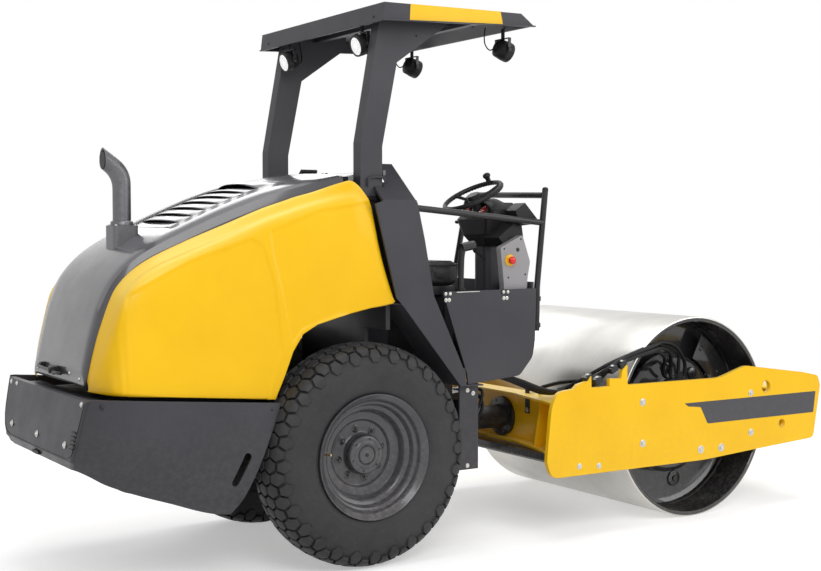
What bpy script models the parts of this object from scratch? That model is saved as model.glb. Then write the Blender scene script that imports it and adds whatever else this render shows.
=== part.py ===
"""Single-drum soil compactor: smooth steel drum in a yoke in front, two rubber tyres behind,
jointed in the middle, with an open platform under a two-post canopy.
Lengths are metres. X runs forward from the rear axle, Y to the left, Z up from the ground."""
import bpy
import bmesh
from math import cos, sin, pi, radians, atan2
from mathutils import Vector, Matrix
from mathutils.geometry import tessellate_polygon

# driving sizes
drum_width = 1.37
drum_radius = 0.57
wheelbase = 2.142
tyre_radius = 0.545
tyre_section = 0.294
track_half = 0.565
frame_centre_x = 0.8622
seat_gap = 0.0004
pin_play = 0.0008

# drum
drum_wall = 0.026
drum_recess = 0.25
drum_hub_radius = 0.17
drum_steps = 56

# wheel
rim_flange_radius = 0.305
rim_bead_radius = 0.285
rim_half = 0.143
rim_dish = 0.156
rim_disc_radius = 0.158
hub_cap_radius = 0.094
hub_cap_inset = 0.083
tyre_steps = 36
rim_steps = 32

# yoke
yoke_gap = 0.055
yoke_plate = 0.024
yoke_outer = drum_width / 2.0 + yoke_gap
yoke_rear = 1.023
yoke_front = 3.149
yoke_bottom = 0.335
beam_rear = 1.12
beam_web = 1.30
beam_top = 0.714
beam_bottom = 0.432
nose_beam_low = 0.425

# chassis and engine
chassis_rear = -1.258
chassis_front = 0.575
chassis_low = 0.36
chassis_top = 0.868
chassis_half = 0.33
neck_half = 0.20
engine_rear = -1.05
engine_front = -0.36
engine_half = 0.27
engine_top = 1.34

# middle joint
pivot_x = 1.0
pivot_z = 0.56
flange_radius = 0.112
knuckle_half = 0.135

# steering cylinder
cylinder_rear = 0.635
cylinder_rear_y = 0.27
cylinder_front = 1.16
cylinder_front_y = 0.25
cylinder_z = 0.56
barrel_radius = 0.034
rod_radius = 0.017
pin_radius = 0.012
pin_gap = 0.001

# canopy
roof_rear = 0.075
roof_front = 1.0
roof_half = 0.648
roof_under = 2.637
roof_height = 0.09
roof_rise = 0.045
roof_sheet = 0.012
roof_nose = 0.908
post_outer = 0.528
post_width = 0.068
post_depth = 0.125
post_foot_x = 0.023
post_foot_z = 1.80
post_kink_share = 0.31
gusset_share = 0.789
post_lean = 0.106

# platform
tub_rear = 0.40
tub_front = 1.06
tub_half = 0.60
tub_top = 1.322
tub_floor = 0.93
tub_wall = 0.012

# hood
hood_hinge_x = -0.052
hood_hinge_z = 1.905
hood_skin = 0.012

# controls
station_y = 0.30 - tub_half
wheel_centre = (0.863, station_y, 1.817)
wheel_rim_radius = 0.163
wheel_tilt = 27.0
knob_radius = 0.155
knob_angle = 12.0

shift = Vector((-frame_centre_x, 0.0, 0.0))

for item in list(bpy.data.objects):
    bpy.data.objects.remove(item, do_unlink=True)


def paint(name, colour, roughness, metallic):
    material = bpy.data.materials.new(name)
    material.use_nodes = True
    shader = material.node_tree.nodes["Principled BSDF"]
    shader.inputs["Base Color"].default_value = (colour[0], colour[1], colour[2], 1.0)
    shader.inputs["Roughness"].default_value = roughness
    shader.inputs["Metallic"].default_value = metallic
    material.diffuse_color = (colour[0], colour[1], colour[2], 1.0)
    return material


YELLOW = paint("yellow_paint", (1.0, 0.60, 0.005), 0.35, 0.0)
GREY = paint("dark_grey_paint", (0.075, 0.073, 0.085), 0.42, 0.0)
BLACK = paint("black_paint", (0.012, 0.012, 0.014), 0.4, 0.0)
RUBBER = paint("tyre_rubber", (0.03, 0.03, 0.032), 0.85, 0.0)
STEEL = paint("drum_steel", (0.50, 0.49, 0.46), 0.3, 0.9)
IRON = paint("cast_iron", (0.05, 0.05, 0.055), 0.6, 0.4)
VINYL = paint("seat_vinyl", (0.025, 0.025, 0.028), 0.6, 0.0)
PALE = paint("pale_grey_plastic", (0.34, 0.33, 0.34), 0.5, 0.0)
CHROME = paint("rod_chrome", (0.7, 0.7, 0.72), 0.12, 1.0)
HOSE = paint("hose_rubber", (0.015, 0.015, 0.016), 0.55, 0.0)


# mesh makers: each returns a bmesh of one closed body
def prism(outline, holes, axis, low, high):
    """Flat outline with holes, pushed along an axis: Y takes (x, z), Z takes (x, y), X takes (y, z)."""
    bm = bmesh.new()
    loops = [outline] + list(holes)

    def point(pair, level):
        if axis == "Y":
            return Vector((pair[0], level, pair[1]))
        if axis == "Z":
            return Vector((pair[0], pair[1], level))
        return Vector((level, pair[0], pair[1]))

    flat = [[Vector((p[0], p[1], 0.0)) for p in loop] for loop in loops]
    faces = tessellate_polygon(flat)
    bottoms = []
    tops = []
    for loop in loops:
        bottoms.append([bm.verts.new(point(p, low)) for p in loop])
        tops.append([bm.verts.new(point(p, high)) for p in loop])
    all_bottom = [v for loop in bottoms for v in loop]
    all_top = [v for loop in tops for v in loop]
    for a, b, c in faces:
        bm.faces.new((all_bottom[a], all_bottom[b], all_bottom[c]))
        bm.faces.new((all_top[c], all_top[b], all_top[a]))
    for lower, upper in zip(bottoms, tops):
        count = len(lower)
        for i in range(count):
            j = (i + 1) % count
            bm.faces.new((lower[i], lower[j], upper[j], upper[i]))
    bmesh.ops.recalc_face_normals(bm, faces=bm.faces)
    return bm


def block(low, high):
    outline = [(low[0], low[2]), (high[0], low[2]), (high[0], high[2]), (low[0], high[2])]
    return prism(outline, [], "Y", low[1], high[1])


def loft(rings, closed_ends=True):
    """Rings of the same number of points, joined in order and capped."""
    bm = bmesh.new()
    rows = [[bm.verts.new(Vector(p)) for p in ring] for ring in rings]
    for lower, upper in zip(rows, rows[1:]):
        count = len(lower)
        for i in range(count):
            j = (i + 1) % count
            bm.faces.new((lower[i], lower[j], upper[j], upper[i]))
    if closed_ends:
        bm.faces.new(list(reversed(rows[0])))
        bm.faces.new(rows[-1])
    bmesh.ops.recalc_face_normals(bm, faces=bm.faces)
    return bm


def ring_body(profile, steps):
    """Closed profile of (radius, y) turned round the Y axis."""
    bm = bmesh.new()
    rows = []
    for i in range(steps):
        angle = 2.0 * pi * i / steps
        rows.append([bm.verts.new(Vector((r * cos(angle), y, r * sin(angle)))) for r, y in profile])
    count = len(profile)
    for i in range(steps):
        a = rows[i]
        b = rows[(i + 1) % steps]
        for k in range(count):
            m = (k + 1) % count
            bm.faces.new((a[k], a[m], b[m], b[k]))
    bmesh.ops.recalc_face_normals(bm, faces=bm.faces)
    return bm


def lathe(profile, steps):
    """Open profile of (radius, y) turned round the Y axis and capped at both ends."""
    rings = []
    for r, y in profile:
        rings.append([(r * cos(2.0 * pi * i / steps), y, r * sin(2.0 * pi * i / steps)) for i in range(steps)])
    return loft(rings)


def frames_along(path):
    points = [Vector(p) for p in path]
    frames = []
    side = None
    for i, p in enumerate(points):
        if i == 0:
            run = points[1] - points[0]
        elif i == len(points) - 1:
            run = points[-1] - points[-2]
        else:
            run = (points[i + 1] - p).normalized() + (p - points[i - 1]).normalized()
        run.normalize()
        if side is None:
            start = Vector((0.0, 0.0, 1.0)) if abs(run.z) < 0.9 else Vector((1.0, 0.0, 0.0))
            side = run.cross(start).normalized()
        else:
            side = (side - run * side.dot(run)).normalized()
        frames.append((p, side, run.cross(side).normalized()))
    return frames


def pipe(path, radius, steps=12):
    rings = []
    for p, a, b in frames_along(path):
        ring = []
        for i in range(steps):
            t = 2.0 * pi * i / steps
            ring.append(p + a * (radius * cos(t)) + b * (radius * sin(t)))
        rings.append(ring)
    return loft(rings)


def round_corners(path, radius, steps=4):
    """Rounds each inner corner of a line of points."""
    points = [Vector(p) for p in path]
    out = [points[0]]
    for i in range(1, len(points) - 1):
        before = (points[i - 1] - points[i])
        after = (points[i + 1] - points[i])
        cut = min(radius, before.length * 0.45, after.length * 0.45)
        start = points[i] + before.normalized() * cut
        end = points[i] + after.normalized() * cut
        for k in range(steps + 1):
            t = k / steps
            out.append(start * (1 - t) ** 2 + points[i] * (2 * t * (1 - t)) + end * t ** 2)
    out.append(points[-1])
    return out


def soft_outline(points, radius, steps=4):
    """Rounds the corners of a closed flat outline; a corner may carry its own radius."""
    out = []
    count = len(points)
    for i in range(count):
        here = Vector((points[i][0], points[i][1]))
        own = points[i][2] if len(points[i]) > 2 else radius
        before = Vector(points[i - 1][:2]) - here
        after = Vector(points[(i + 1) % count][:2]) - here
        cut = min(own, before.length * 0.45, after.length * 0.45)
        if cut < 1e-5:
            out.append((here.x, here.y))
            continue
        start = here + before.normalized() * cut
        end = here + after.normalized() * cut
        for k in range(steps + 1):
            t = k / steps
            p = start * (1 - t) ** 2 + here * (2 * t * (1 - t)) + end * t ** 2
            out.append((p.x, p.y))
    return out


def circle(cx, cy, radius, steps=16):
    return [(cx + radius * cos(2 * pi * i / steps), cy + radius * sin(2 * pi * i / steps)) for i in range(steps)]


def obround(cx, cy, length, width, angle, steps=5):
    out = []
    half = (length - width) / 2.0
    turn = radians(angle)
    for end, base in ((half, -90.0), (-half, 90.0)):
        for i in range(steps + 1):
            t = radians(base + 180.0 * i / steps)
            x = end + width / 2.0 * cos(t)
            y = width / 2.0 * sin(t)
            out.append((cx + x * cos(turn) - y * sin(turn), cy + x * sin(turn) + y * cos(turn)))
    return out


def moved(bm, offset=(0, 0, 0), turn=None):
    if turn is not None:
        bmesh.ops.transform(bm, matrix=turn, verts=bm.verts)
    bmesh.ops.translate(bm, vec=Vector(offset), verts=bm.verts)
    return bm


def mirrored(bm):
    """The same body on the other side of the machine."""
    out = bm.copy()
    for v in out.verts:
        v.co.y = -v.co.y
    bmesh.ops.reverse_faces(out, faces=out.faces)
    return out


def scratch(bm, name):
    mesh = bpy.data.meshes.new(name)
    bm.to_mesh(mesh)
    bm.free()
    item = bpy.data.objects.new(name, mesh)
    bpy.context.scene.collection.objects.link(item)
    return item


def fused(parts, cuts=()):
    """Joins the parts into one body and takes the cuts away."""
    base = scratch(parts[0], "base")
    tools = []
    for kind, group in (("UNION", parts[1:]), ("DIFFERENCE", cuts)):
        for bm in group:
            tool = scratch(bm, "tool")
            tools.append(tool)
            step = base.modifiers.new("step", "BOOLEAN")
            step.operation = kind
            step.solver = "EXACT"
            step.object = tool
    view = bpy.context.evaluated_depsgraph_get()
    view.update()
    out = bmesh.new()
    out.from_mesh(base.evaluated_get(view).to_mesh())
    for item in tools + [base]:
        bpy.data.objects.remove(item, do_unlink=True)
    bmesh.ops.remove_doubles(out, verts=out.verts, dist=0.00002)
    bmesh.ops.dissolve_degenerate(out, edges=out.edges, dist=0.00002)
    return out


def node(name, bm, material, origin=(0.0, 0.0, 0.0), smooth=0.0):
    """Puts a body into the scene with its origin at the given place."""
    bmesh.ops.translate(bm, vec=-Vector(origin), verts=bm.verts)
    mesh = bpy.data.meshes.new(name)
    bm.to_mesh(mesh)
    bm.free()
    mesh.materials.append(material)
    item = bpy.data.objects.new(name, mesh)
    bpy.context.scene.collection.objects.link(item)
    item.location = Vector(origin) + shift
    if smooth > 0.0:
        mesh.polygons.foreach_set("use_smooth", [True] * len(mesh.polygons))
        for edge, angle in sharp_edges(mesh):
            if angle > radians(smooth):
                mesh.edges[edge].use_edge_sharp = True
    return item


def sharp_edges(mesh):
    bm = bmesh.new()
    bm.from_mesh(mesh)
    found = [(e.index, e.calc_face_angle(pi)) for e in bm.edges]
    bm.free()
    return found


def both_sides(name, bm, material, origin=(0.0, 0.0, 0.0), smooth=0.0):
    """Right-hand body as drawn, left-hand body as its mirror image."""
    other = mirrored(bm)
    node(name + "_right", bm, material, origin, smooth)
    node(name + "_left", other, material, (origin[0], -origin[1], origin[2]), smooth)


# tyres and rims
tyre_half_profile = [
    (rim_bead_radius + seat_gap, 0.110), (0.300, 0.1225), (rim_flange_radius + 0.003, 0.1285),
    (0.325, 0.1385), (0.365, 0.1445), (0.42, tyre_section / 2), (0.47, 0.1425),
    (0.503, 0.131), (0.526, 0.112), (0.539, 0.078), (0.5445, 0.035),
]


def tyre_body():
    profile = [(r, -y) for r, y in tyre_half_profile]
    profile += [(tyre_radius, 0.0)]
    profile += [(r, y) for r, y in reversed(tyre_half_profile)]
    return ring_body(profile, tyre_steps)


def rim_body():
    """Outer side is minus Y: stepped well, dished disc, hub drum with its cap."""
    face = rim_half - rim_dish
    cap = rim_half - hub_cap_inset
    profile = [
        (hub_cap_radius * 0.9, -cap), (hub_cap_radius, -(cap - 0.008)), (hub_cap_radius, -(face + 0.004)),
        (hub_cap_radius + 0.012, -face), (rim_disc_radius, -face), (rim_disc_radius + 0.006, -(face + 0.008)),
        (0.205, -(face + 0.020)), (0.222, -(face + 0.070)), (0.243, -(face + 0.078)), (0.250, -(face + 0.100)),
        (0.266, -(face + 0.108)), (0.272, -(face + 0.132)), (0.292, -(rim_half - 0.006)), (0.299, -rim_half),
        (rim_flange_radius, -(rim_half - 0.003)), (rim_flange_radius, -(rim_half - 0.012)),
        (rim_bead_radius - seat_gap + 0.0002, -(rim_half - 0.030)), (0.240, 0.0),
        (rim_bead_radius - seat_gap + 0.0002, rim_half - 0.030), (rim_flange_radius, rim_half - 0.012),
        (0.297, rim_half), (0.250, rim_half - 0.060), (0.212, -(face - 0.006)), (0.125, -(face - 0.016)),
        (0.125, 0.075), (0.06, 0.078),
    ]
    return lathe(profile, rim_steps)


for side, name in ((-1.0, "right"), (1.0, "left")):
    hub = (0.0, side * track_half, tyre_radius)
    tyre = tyre_body()
    rim = rim_body()
    if side > 0:
        rim = mirrored(rim)
    node("tyre_" + name, moved(tyre, hub), RUBBER, hub, 40.0)
    node("rim_" + name, moved(rim, hub), GREY, hub, 28.0)


# drum: smooth wall round two set-back heads, turned in one piece; its closed inside is left solid
drum_half = drum_width / 2.0
drum_inner = drum_radius - drum_wall
head_out = drum_half - drum_recess
bore = 0.09
drum_profile = [
    (bore, head_out), (drum_inner - 0.05, head_out), (drum_inner, head_out + 0.04),
    (drum_inner, drum_half - 0.006), (drum_inner + 0.006, drum_half), (drum_radius - 0.006, drum_half),
    (drum_radius, drum_half - 0.006), (drum_radius, -(drum_half - 0.006)), (drum_radius - 0.006, -drum_half),
    (drum_inner + 0.006, -drum_half), (drum_inner, -(drum_half - 0.006)), (drum_inner, -(head_out + 0.04)),
    (drum_inner - 0.05, -head_out), (bore, -head_out),
]
drum_centre = (wheelbase, 0.0, drum_radius)
node("drum_shell", moved(ring_body(drum_profile, drum_steps), drum_centre), STEEL, drum_centre, 30.0)

hub_profile = [
    (0.05, -(head_out + 0.052)), (0.12, -(head_out + 0.050)), (drum_hub_radius, -(head_out + 0.035)),
    (drum_hub_radius, -(head_out + seat_gap)), (bore - seat_gap, -(head_out + seat_gap)),
    (bore - seat_gap, head_out + seat_gap), (drum_hub_radius, head_out + seat_gap),
    (drum_hub_radius, head_out + 0.035), (0.12, head_out + 0.050), (0.05, head_out + 0.052),
]
node("drum_axle", moved(lathe(hub_profile, 28), drum_centre), BLACK, drum_centre, 30.0)

# yoke side plates: low rear half, raised nose, two holes, hose tabs on the top edge
plate_outline = soft_outline([
    (yoke_rear + 0.035, yoke_bottom, 0.045), (2.17, 0.328, 0.05), (2.60, 0.352, 0.3), (3.092, 0.376, 0.03),
    (yoke_front, 0.69, 0.012), (3.126, 0.752, 0.02), (2.994, 0.779, 0.03), (2.50, 0.846, 0.03),
    (2.285, 0.788, 0.04), (1.582, 0.794, 0.0), (1.578, 0.905, 0.0), (1.545, 0.875, 0.0), (1.535, 0.832, 0.0),
    (1.452, 0.836, 0.0), (1.452, 0.794, 0.0), (1.325, 0.795, 0.0), (1.322, 0.858, 0.0), (1.300, 0.832, 0.0),
    (1.230, 0.818, 0.0), (1.205, 0.795, 0.0), (1.090, 0.786, 0.06), (1.052, 0.70, 0.03),
    (yoke_rear, 0.42, 0.03),
], 0.02)
plate_holes = [circle(2.672, 0.713, 0.034, 14), circle(2.812, 0.486, 0.024, 12)]
plate = prism(plate_outline, plate_holes, "Y", -yoke_outer, -(yoke_outer - yoke_plate))
both_sides("yoke_plate", plate, YELLOW, (2.0, -yoke_outer, 0.56), 0.0)

# rear crossbeam: open channel with a shallow notch that clears the middle joint
beam_half = yoke_outer - yoke_plate - seat_gap
shelf = [
    (beam_rear, -beam_half), (1.245, -0.16), (1.245, 0.16), (beam_rear, beam_half),
    (1.372, beam_half), (1.372, -beam_half),
]
beam_parts = [
    prism(shelf, [], "Z", beam_top - 0.012, beam_top),
    prism(shelf, [], "Z", beam_bottom, beam_bottom + 0.014),
    block((beam_web, -beam_half, beam_bottom + 0.002), (beam_web + 0.016, beam_half, beam_top - 0.002)),
    block((1.352, -beam_half, beam_bottom + 0.002), (1.372, beam_half, beam_top - 0.002)),
]
for y in (-0.42, 0.42):
    beam_parts.append(prism([(1.19, beam_bottom + 0.005), (1.31, beam_bottom + 0.005), (1.31, beam_top - 0.005),
                             (1.24, beam_top - 0.005)], [], "Y", y - 0.006, y + 0.006))
# the two webs are joined by the shelves, and the box between them is open at the drain holes
drains = [prism(circle(1.335, y, 0.009, 8), [], "Z", beam_bottom - 0.01, beam_bottom + 0.03)
          for y in (-0.5, -0.2, 0.2, 0.5)]
node("rear_crossbeam", fused(beam_parts, drains), YELLOW, (1.25, 0.0, 0.57))

# front crossbeam: a bent plate beam across the nose
nose_beam_shape = [
    (-0.249, 0.015), (-0.234, 0.0), (-0.089, 0.0), (-0.074, 0.015), (-0.064, 0.235), (-0.079, 0.250),
    (-0.199, 0.250), (-0.214, 0.240), (-0.214, 0.230), (-0.087, 0.230), (-0.095, 0.020), (-0.229, 0.020),
]
front_beam = [(yoke_front + x, nose_beam_low + z) for x, z in nose_beam_shape]
node("front_crossbeam", prism(front_beam, [], "Y", -beam_half, beam_half), YELLOW, (3.0, 0.0, 0.56))

# scraper bars before and behind the drum, each a folded strip that clears the drum
scraper_rear_outline = [
    (1.150, 0.395), (1.165, 0.382), (1.470, 0.382), (1.588, 0.400), (1.588, 0.408), (1.468, 0.394),
    (1.172, 0.394), (1.172, beam_bottom - seat_gap), (1.150, beam_bottom - seat_gap),
]
scraper_half = drum_half - 0.02
node("scraper_rear", prism(scraper_rear_outline, [], "Y", -scraper_half, scraper_half), BLACK, (1.3, 0.0, 0.41))
scraper_front_shape = [
    (-0.109, -seat_gap), (-0.224, -seat_gap), (-0.349, -0.017), (-0.452, -0.017),
    (-0.452, -0.025), (-0.347, -0.025), (-0.219, -0.012), (-0.109, -0.012),
]
scraper_front_outline = [(yoke_front + x, nose_beam_low + z) for x, z in scraper_front_shape]
node("scraper_front", prism(scraper_front_outline, [], "Y", -scraper_half, scraper_half), BLACK, (2.9, 0.0, 0.41))

# drum carriers: rubber mount ring, bearing drum and the arm plate bolted to the side plate
carrier_end = yoke_outer - yoke_plate - seat_gap
carrier_profile = [
    (0.045, -(head_out + 0.052 + pin_play)), (0.11, -(head_out + 0.054)), (0.180, -(head_out + 0.062)),
    (0.190, -(head_out + 0.022)), (0.330, -(head_out + 0.014)), (0.345, -(head_out + 0.024)),
    (0.345, -(head_out + 0.052)), (0.320, -(head_out + 0.066)), (0.225, -(head_out + 0.078)),
    (0.212, -(head_out + 0.085)), (0.212, -(head_out + 0.118)), (0.19, -(head_out + 0.145)),
    (0.15, -(head_out + 0.150)),
    (0.14, -(carrier_end - 0.0125)), (0.10, -carrier_end),
]
carrier = moved(lathe(carrier_profile, 30), drum_centre)
both_sides("drum_carrier", carrier, BLACK, (wheelbase, -0.6, drum_radius), 30.0)

# middle joint: flange on the beam, knuckle with upper and lower eyes
flange = lathe([(0.05, 0.0), (flange_radius, 0.0), (flange_radius, 0.022), (0.07, 0.03), (0.065, 0.085)], 32)
flange = moved(flange, (0, 0, 0), Matrix.Rotation(radians(90), 4, "Z"))
flange = moved(flange, (beam_web - seat_gap, 0.0, pivot_z))
node("hitch_flange", flange, BLACK, (beam_web, 0.0, pivot_z), 30.0)

knuckle_core = moved(lathe([(0.062, -knuckle_half), (0.062, knuckle_half)], 24), (0, 0, 0), Matrix.Rotation(radians(90), 4, "X"))
knuckle_core = moved(knuckle_core, (pivot_x, 0.0, pivot_z))
knuckle_nose = moved(lathe([(0.055, 0.0), (0.062, 0.01), (0.066, beam_web - seat_gap - 0.085 - pin_play - pivot_x - 0.005)], 24), (0, 0, 0),
                     Matrix.Rotation(radians(-90), 4, "Z"))
knuckle_nose = moved(knuckle_nose, (pivot_x + 0.005, 0.0, pivot_z))
arm_shape = [(pivot_x + 0.03, 0.05), (pivot_x + 0.03, 0.03), (pivot_x + 0.15, 0.02), (cylinder_front + 0.028, 0.22)]
arm_shape += [(cylinder_front + 0.028 * cos(radians(a)), cylinder_front_y + 0.028 * sin(radians(a)))
              for a in range(0, 181, 30)]
arms = [prism(arm_shape, [], "Z", cylinder_z + s * 0.032 - 0.008, cylinder_z + s * 0.032 + 0.008) for s in (-1, 1)]
for s in (-1, 1):
    head = circle(cylinder_front, cylinder_front_y, 0.017, 10)
    arms.append(prism(head, [], "Z", cylinder_z + s * 0.045 - 0.007, cylinder_z + s * 0.045 + 0.007))
node("hitch_knuckle", fused([knuckle_core, knuckle_nose] + arms), BLACK, (pivot_x, 0.0, pivot_z), 30.0)

# chassis: deep box between the tyres, tapering forward to two eyes round the knuckle
chassis_outline = soft_outline([
    (chassis_rear, 0.53, 0.0), (-1.12, 0.43, 0.05), (-0.55, chassis_low), (chassis_front, chassis_low),
    (chassis_front, chassis_top), (chassis_rear, chassis_top, 0.0),
], 0.02)
chassis_body = prism(chassis_outline, [], "Y", -chassis_half, chassis_half)
neck_rear = chassis_front - 0.015
neck_outline = soft_outline([
    (neck_rear, 0.38), (0.72, 0.38), (0.80, 0.42), (0.80, 0.80), (0.72, chassis_top - 0.002),
    (neck_rear, chassis_top - 0.002),
], 0.02)
chassis_neck = prism(neck_outline, [], "Y", -neck_half, neck_half)
eye_shape = [(0.70, -0.19), (0.80, -0.16), (0.96, -0.085)]
eye_shape += [(pivot_x + 0.085 * cos(radians(a)), 0.085 * sin(radians(a))) for a in range(-80, 81, 20)]
eye_shape += [(0.96, 0.085), (0.80, 0.16), (0.70, 0.19)]
eye_top = prism(eye_shape, [], "Z", pivot_z + knuckle_half + pin_play, pivot_z + 0.175)
eye_low = prism(eye_shape, [], "Z", pivot_z - 0.175, pivot_z - knuckle_half - pin_play)
lug_shape = [(0.57, cylinder_rear_y - 0.035), (cylinder_rear, cylinder_rear_y - 0.035), (cylinder_rear + 0.03, cylinder_rear_y - 0.018),
             (cylinder_rear + 0.03, cylinder_rear_y + 0.018), (cylinder_rear, cylinder_rear_y + 0.035),
             (0.57, cylinder_rear_y + 0.035)]
lugs = [prism(lug_shape, [], "Z", cylinder_z + s * 0.032 - 0.008, cylinder_z + s * 0.032 + 0.008) for s in (-1, 1)]
rear_pin = prism(circle(cylinder_rear, cylinder_rear_y, pin_radius, 12), [], "Z", cylinder_z - 0.035, cylinder_z + 0.035)
axle_tunnel = moved(lathe([(0.1184, -0.5), (0.1184, 0.5)], 20), (0, 0, tyre_radius))
node("rear_chassis", fused([chassis_body, chassis_neck, eye_top, eye_low, rear_pin] + lugs, [axle_tunnel]), BLACK, (0.0, 0.0, 0.56))

axle_profile = [
    (0.05, -(track_half - 0.078 - pin_play)), (0.10, -(track_half - 0.078 - pin_play)), (0.10, -0.455),
    (0.072, -0.44), (0.072, -0.26), (0.115, -0.17), (0.118, 0.17), (0.072, 0.26), (0.072, 0.44),
    (0.10, 0.455), (0.10, track_half - 0.078 - pin_play), (0.05, track_half - 0.078 - pin_play),
]
node("rear_axle", moved(lathe(axle_profile, 20), (0, 0, tyre_radius)), IRON, (0, 0, tyre_radius), 30.0)

engine = block((engine_rear, -engine_half, chassis_top + seat_gap), (engine_front, engine_half, engine_top))
node("engine_block", engine, IRON, (-0.7, 0.0, 1.0))


# hood and skirt line: the seam that falls toward the front
skirt_slope = -0.081
skirt_top_front = 0.832
arch_rear = -0.469
panel_gap = 0.014
panel_skin = 0.012

# counterweight and side skirts
def plan_ring(z, rear, half_rear, half_front, front, corner, fall):
    """Plan outline of the tail at one height, rounded at the rear corners; the foot falls toward the front."""
    points = soft_outline([(front, -half_front, 0.0), (rear, -half_rear, corner), (rear, half_rear, corner),
                           (front, half_front, 0.0)], 0.0, 5)
    return [(x, y, z - fall * (x - rear) / (front - rear)) for x, y in points]


tail_front = -1.3454
tail_rings = [
    plan_ring(0.585, -1.400, 0.440, 0.470, tail_front, 0.04, 0.020),
    plan_ring(0.625, -1.421, 0.500, 0.525, tail_front, 0.03, 0.010),
    plan_ring(0.720, -1.412, 0.545, 0.572, tail_front, 0.02, 0.0),
    plan_ring(0.897, -1.376, 0.575, 0.597, tail_front, 0.02, 0.0),
]
tail_core = block((-1.36, -0.44, 0.63), (chassis_rear - seat_gap, 0.44, 0.884))
node("counterweight", fused([loft(tail_rings), tail_core]), GREY, (-1.35, 0.0, 0.7))


def skirt_section(x, foot, out_top, out_mid, out_foot):
    """Cross section of the bulging side skirt: y and z of its outer and inner skin."""
    thick = 0.012
    top = skirt_top_front + skirt_slope * (x - arch_rear)
    mid = max(0.54, foot + 0.075)
    outer = [(-out_top, top), (-out_mid, mid + 0.08), (-(out_mid - 0.006), mid), (-(out_foot + 0.012), foot + 0.05),
             (-out_foot, foot)]
    inside = [(-(out_foot - 0.012), foot + 0.004), (-out_foot, foot + 0.055), (-(out_mid - 0.020), mid),
              (-(out_mid - 0.014), mid + 0.08), (-(out_top - thick), top)]
    return [(x, y, z) for y, z in outer + inside]


skirt = loft([
    skirt_section(-1.345, 0.572, 0.600, 0.590, 0.490),
    skirt_section(-1.258, 0.530, 0.607, 0.612, 0.515),
    skirt_section(-1.00, 0.426, 0.615, 0.640, 0.545),
    skirt_section(-0.72, 0.350, 0.620, 0.655, 0.560),
    skirt_section(-0.44, 0.335, 0.620, 0.655, 0.565),
])
arch_cut = prism([(-0.475, 0.90), (-0.70, 0.30), (-0.30, 0.30), (-0.30, 0.90)], [], "Y", -0.8, -0.4)
slot_cut = prism(obround(-0.700, 0.545, 0.205, 0.034, 56.0), [], "Y", -0.8, -0.4)
skirt = fused([skirt], [arch_cut, slot_cut])
both_sides("side_skirt", skirt, GREY, (-0.9, -0.61, 0.6))

# hood: a rounded dark shell lofted along its top line, with yellow side panels let in
hood_line = [
    # x, half width, shoulder z, crown, shoulder drop
    (-1.278, 0.362, 1.150, 0.010, 0.050),
    (-1.240, 0.375, 1.285, 0.012, 0.055),
    (-1.172, 0.388, 1.420, 0.014, 0.040),
    (-1.070, 0.402, 1.520, 0.016, 0.040),
    (-0.880, 0.430, 1.628, 0.018, 0.050),
    (-0.460, 0.485, 1.805, 0.020, 0.055),
    (-0.076, 0.532, 1.900, 0.020, 0.030),
]
hood_tail = -1.312


def hood_ring(row, inset, foot):
    x, half, shoulder, crown, drop = row
    half = half - inset
    top = shoulder - inset
    flat = half - drop
    right = [(-half, foot), (-half, top - drop), (-(half - drop * 0.3), top - drop * 0.3), (-flat, top)]
    middle = [(-flat * 0.5, top + crown * 0.75), (0.0, top + crown), (flat * 0.5, top + crown * 0.75)]
    left = [(-y, z) for y, z in reversed(right)]
    return [(x, y, z) for y, z in right + middle + left]


hood_foot = 0.935
hood_outer = [hood_ring(row, 0.0, hood_foot) for row in hood_line]
tail_ring = [(hood_tail, y, min(z, 1.0)) for _, y, z in hood_ring(hood_line[0], 0.004, hood_foot)]
hood_outer.insert(0, tail_ring)
outer_shell = loft(hood_outer)
inner_line = [(row[0] + 0.02, row[1], row[2], row[3], row[4]) for row in hood_line]
inner_line[-1] = (0.08, 0.545, 1.925, 0.02, 0.09)
hood_inner = [hood_ring(row, hood_skin, hood_foot - 0.05) for row in inner_line]
inner_tail = [(hood_tail + 0.017, y, min(z, 0.98)) for _, y, z in hood_ring(inner_line[0], hood_skin + 0.004, hood_foot - 0.05)]
hood_inner.insert(0, inner_tail)
inner_shell = loft(hood_inner)
louvre_hole = prism([(-0.8604, -0.2724), (-0.2746, -0.2724), (-0.2746, 0.2724), (-0.8604, 0.2724)], [], "Z", 1.3, 2.1)
side_window = [(-1.16, 0.985), (-1.09, 1.26), (-1.00, 1.38), (-0.86, 1.46), (-0.46, 1.63), (-0.13, 1.74),
               (-0.13, 1.30), (-0.27, 1.25), (-0.39, 0.985)]
window_cut = prism(side_window, [], "Y", -0.8, 0.8)
arch_trim = prism([(-0.44, 0.85), (-0.41, 0.95), (-0.30, 1.20), (-0.19, 1.25), (0.10, 1.28), (0.2, 0.85)], [], "Y", -0.8, 0.8)
collar_half = 0.062
stack_x = -1.00
stack_y = -0.02
collar_hole = block((stack_x - collar_half - seat_gap, stack_y - collar_half - seat_gap, 1.3),
                    (stack_x + collar_half + seat_gap, stack_y + collar_half + seat_gap, 2.1))
hood = fused([outer_shell], [inner_shell, louvre_hole, window_cut, arch_trim, collar_hole])
hinge_eyes = []
for y in (-0.30, 0.30):
    for s in (-1.0, 1.0):
        centre = y + s * (0.012 + pin_play + 0.006)
        eye_outline = [(hood_hinge_x + x, hood_hinge_z + z) for x, z in (
            (-0.050, -0.012), (-0.050, -0.022), (-0.010, -0.020), (0.009, -0.008), (0.011, 0.006), (0.002, 0.012),
            (-0.022, 0.002))]
        hinge_eyes.append(prism(eye_outline, [], "Y", centre - 0.006, centre + 0.006))
hood = fused([hood] + hinge_eyes)
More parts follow.
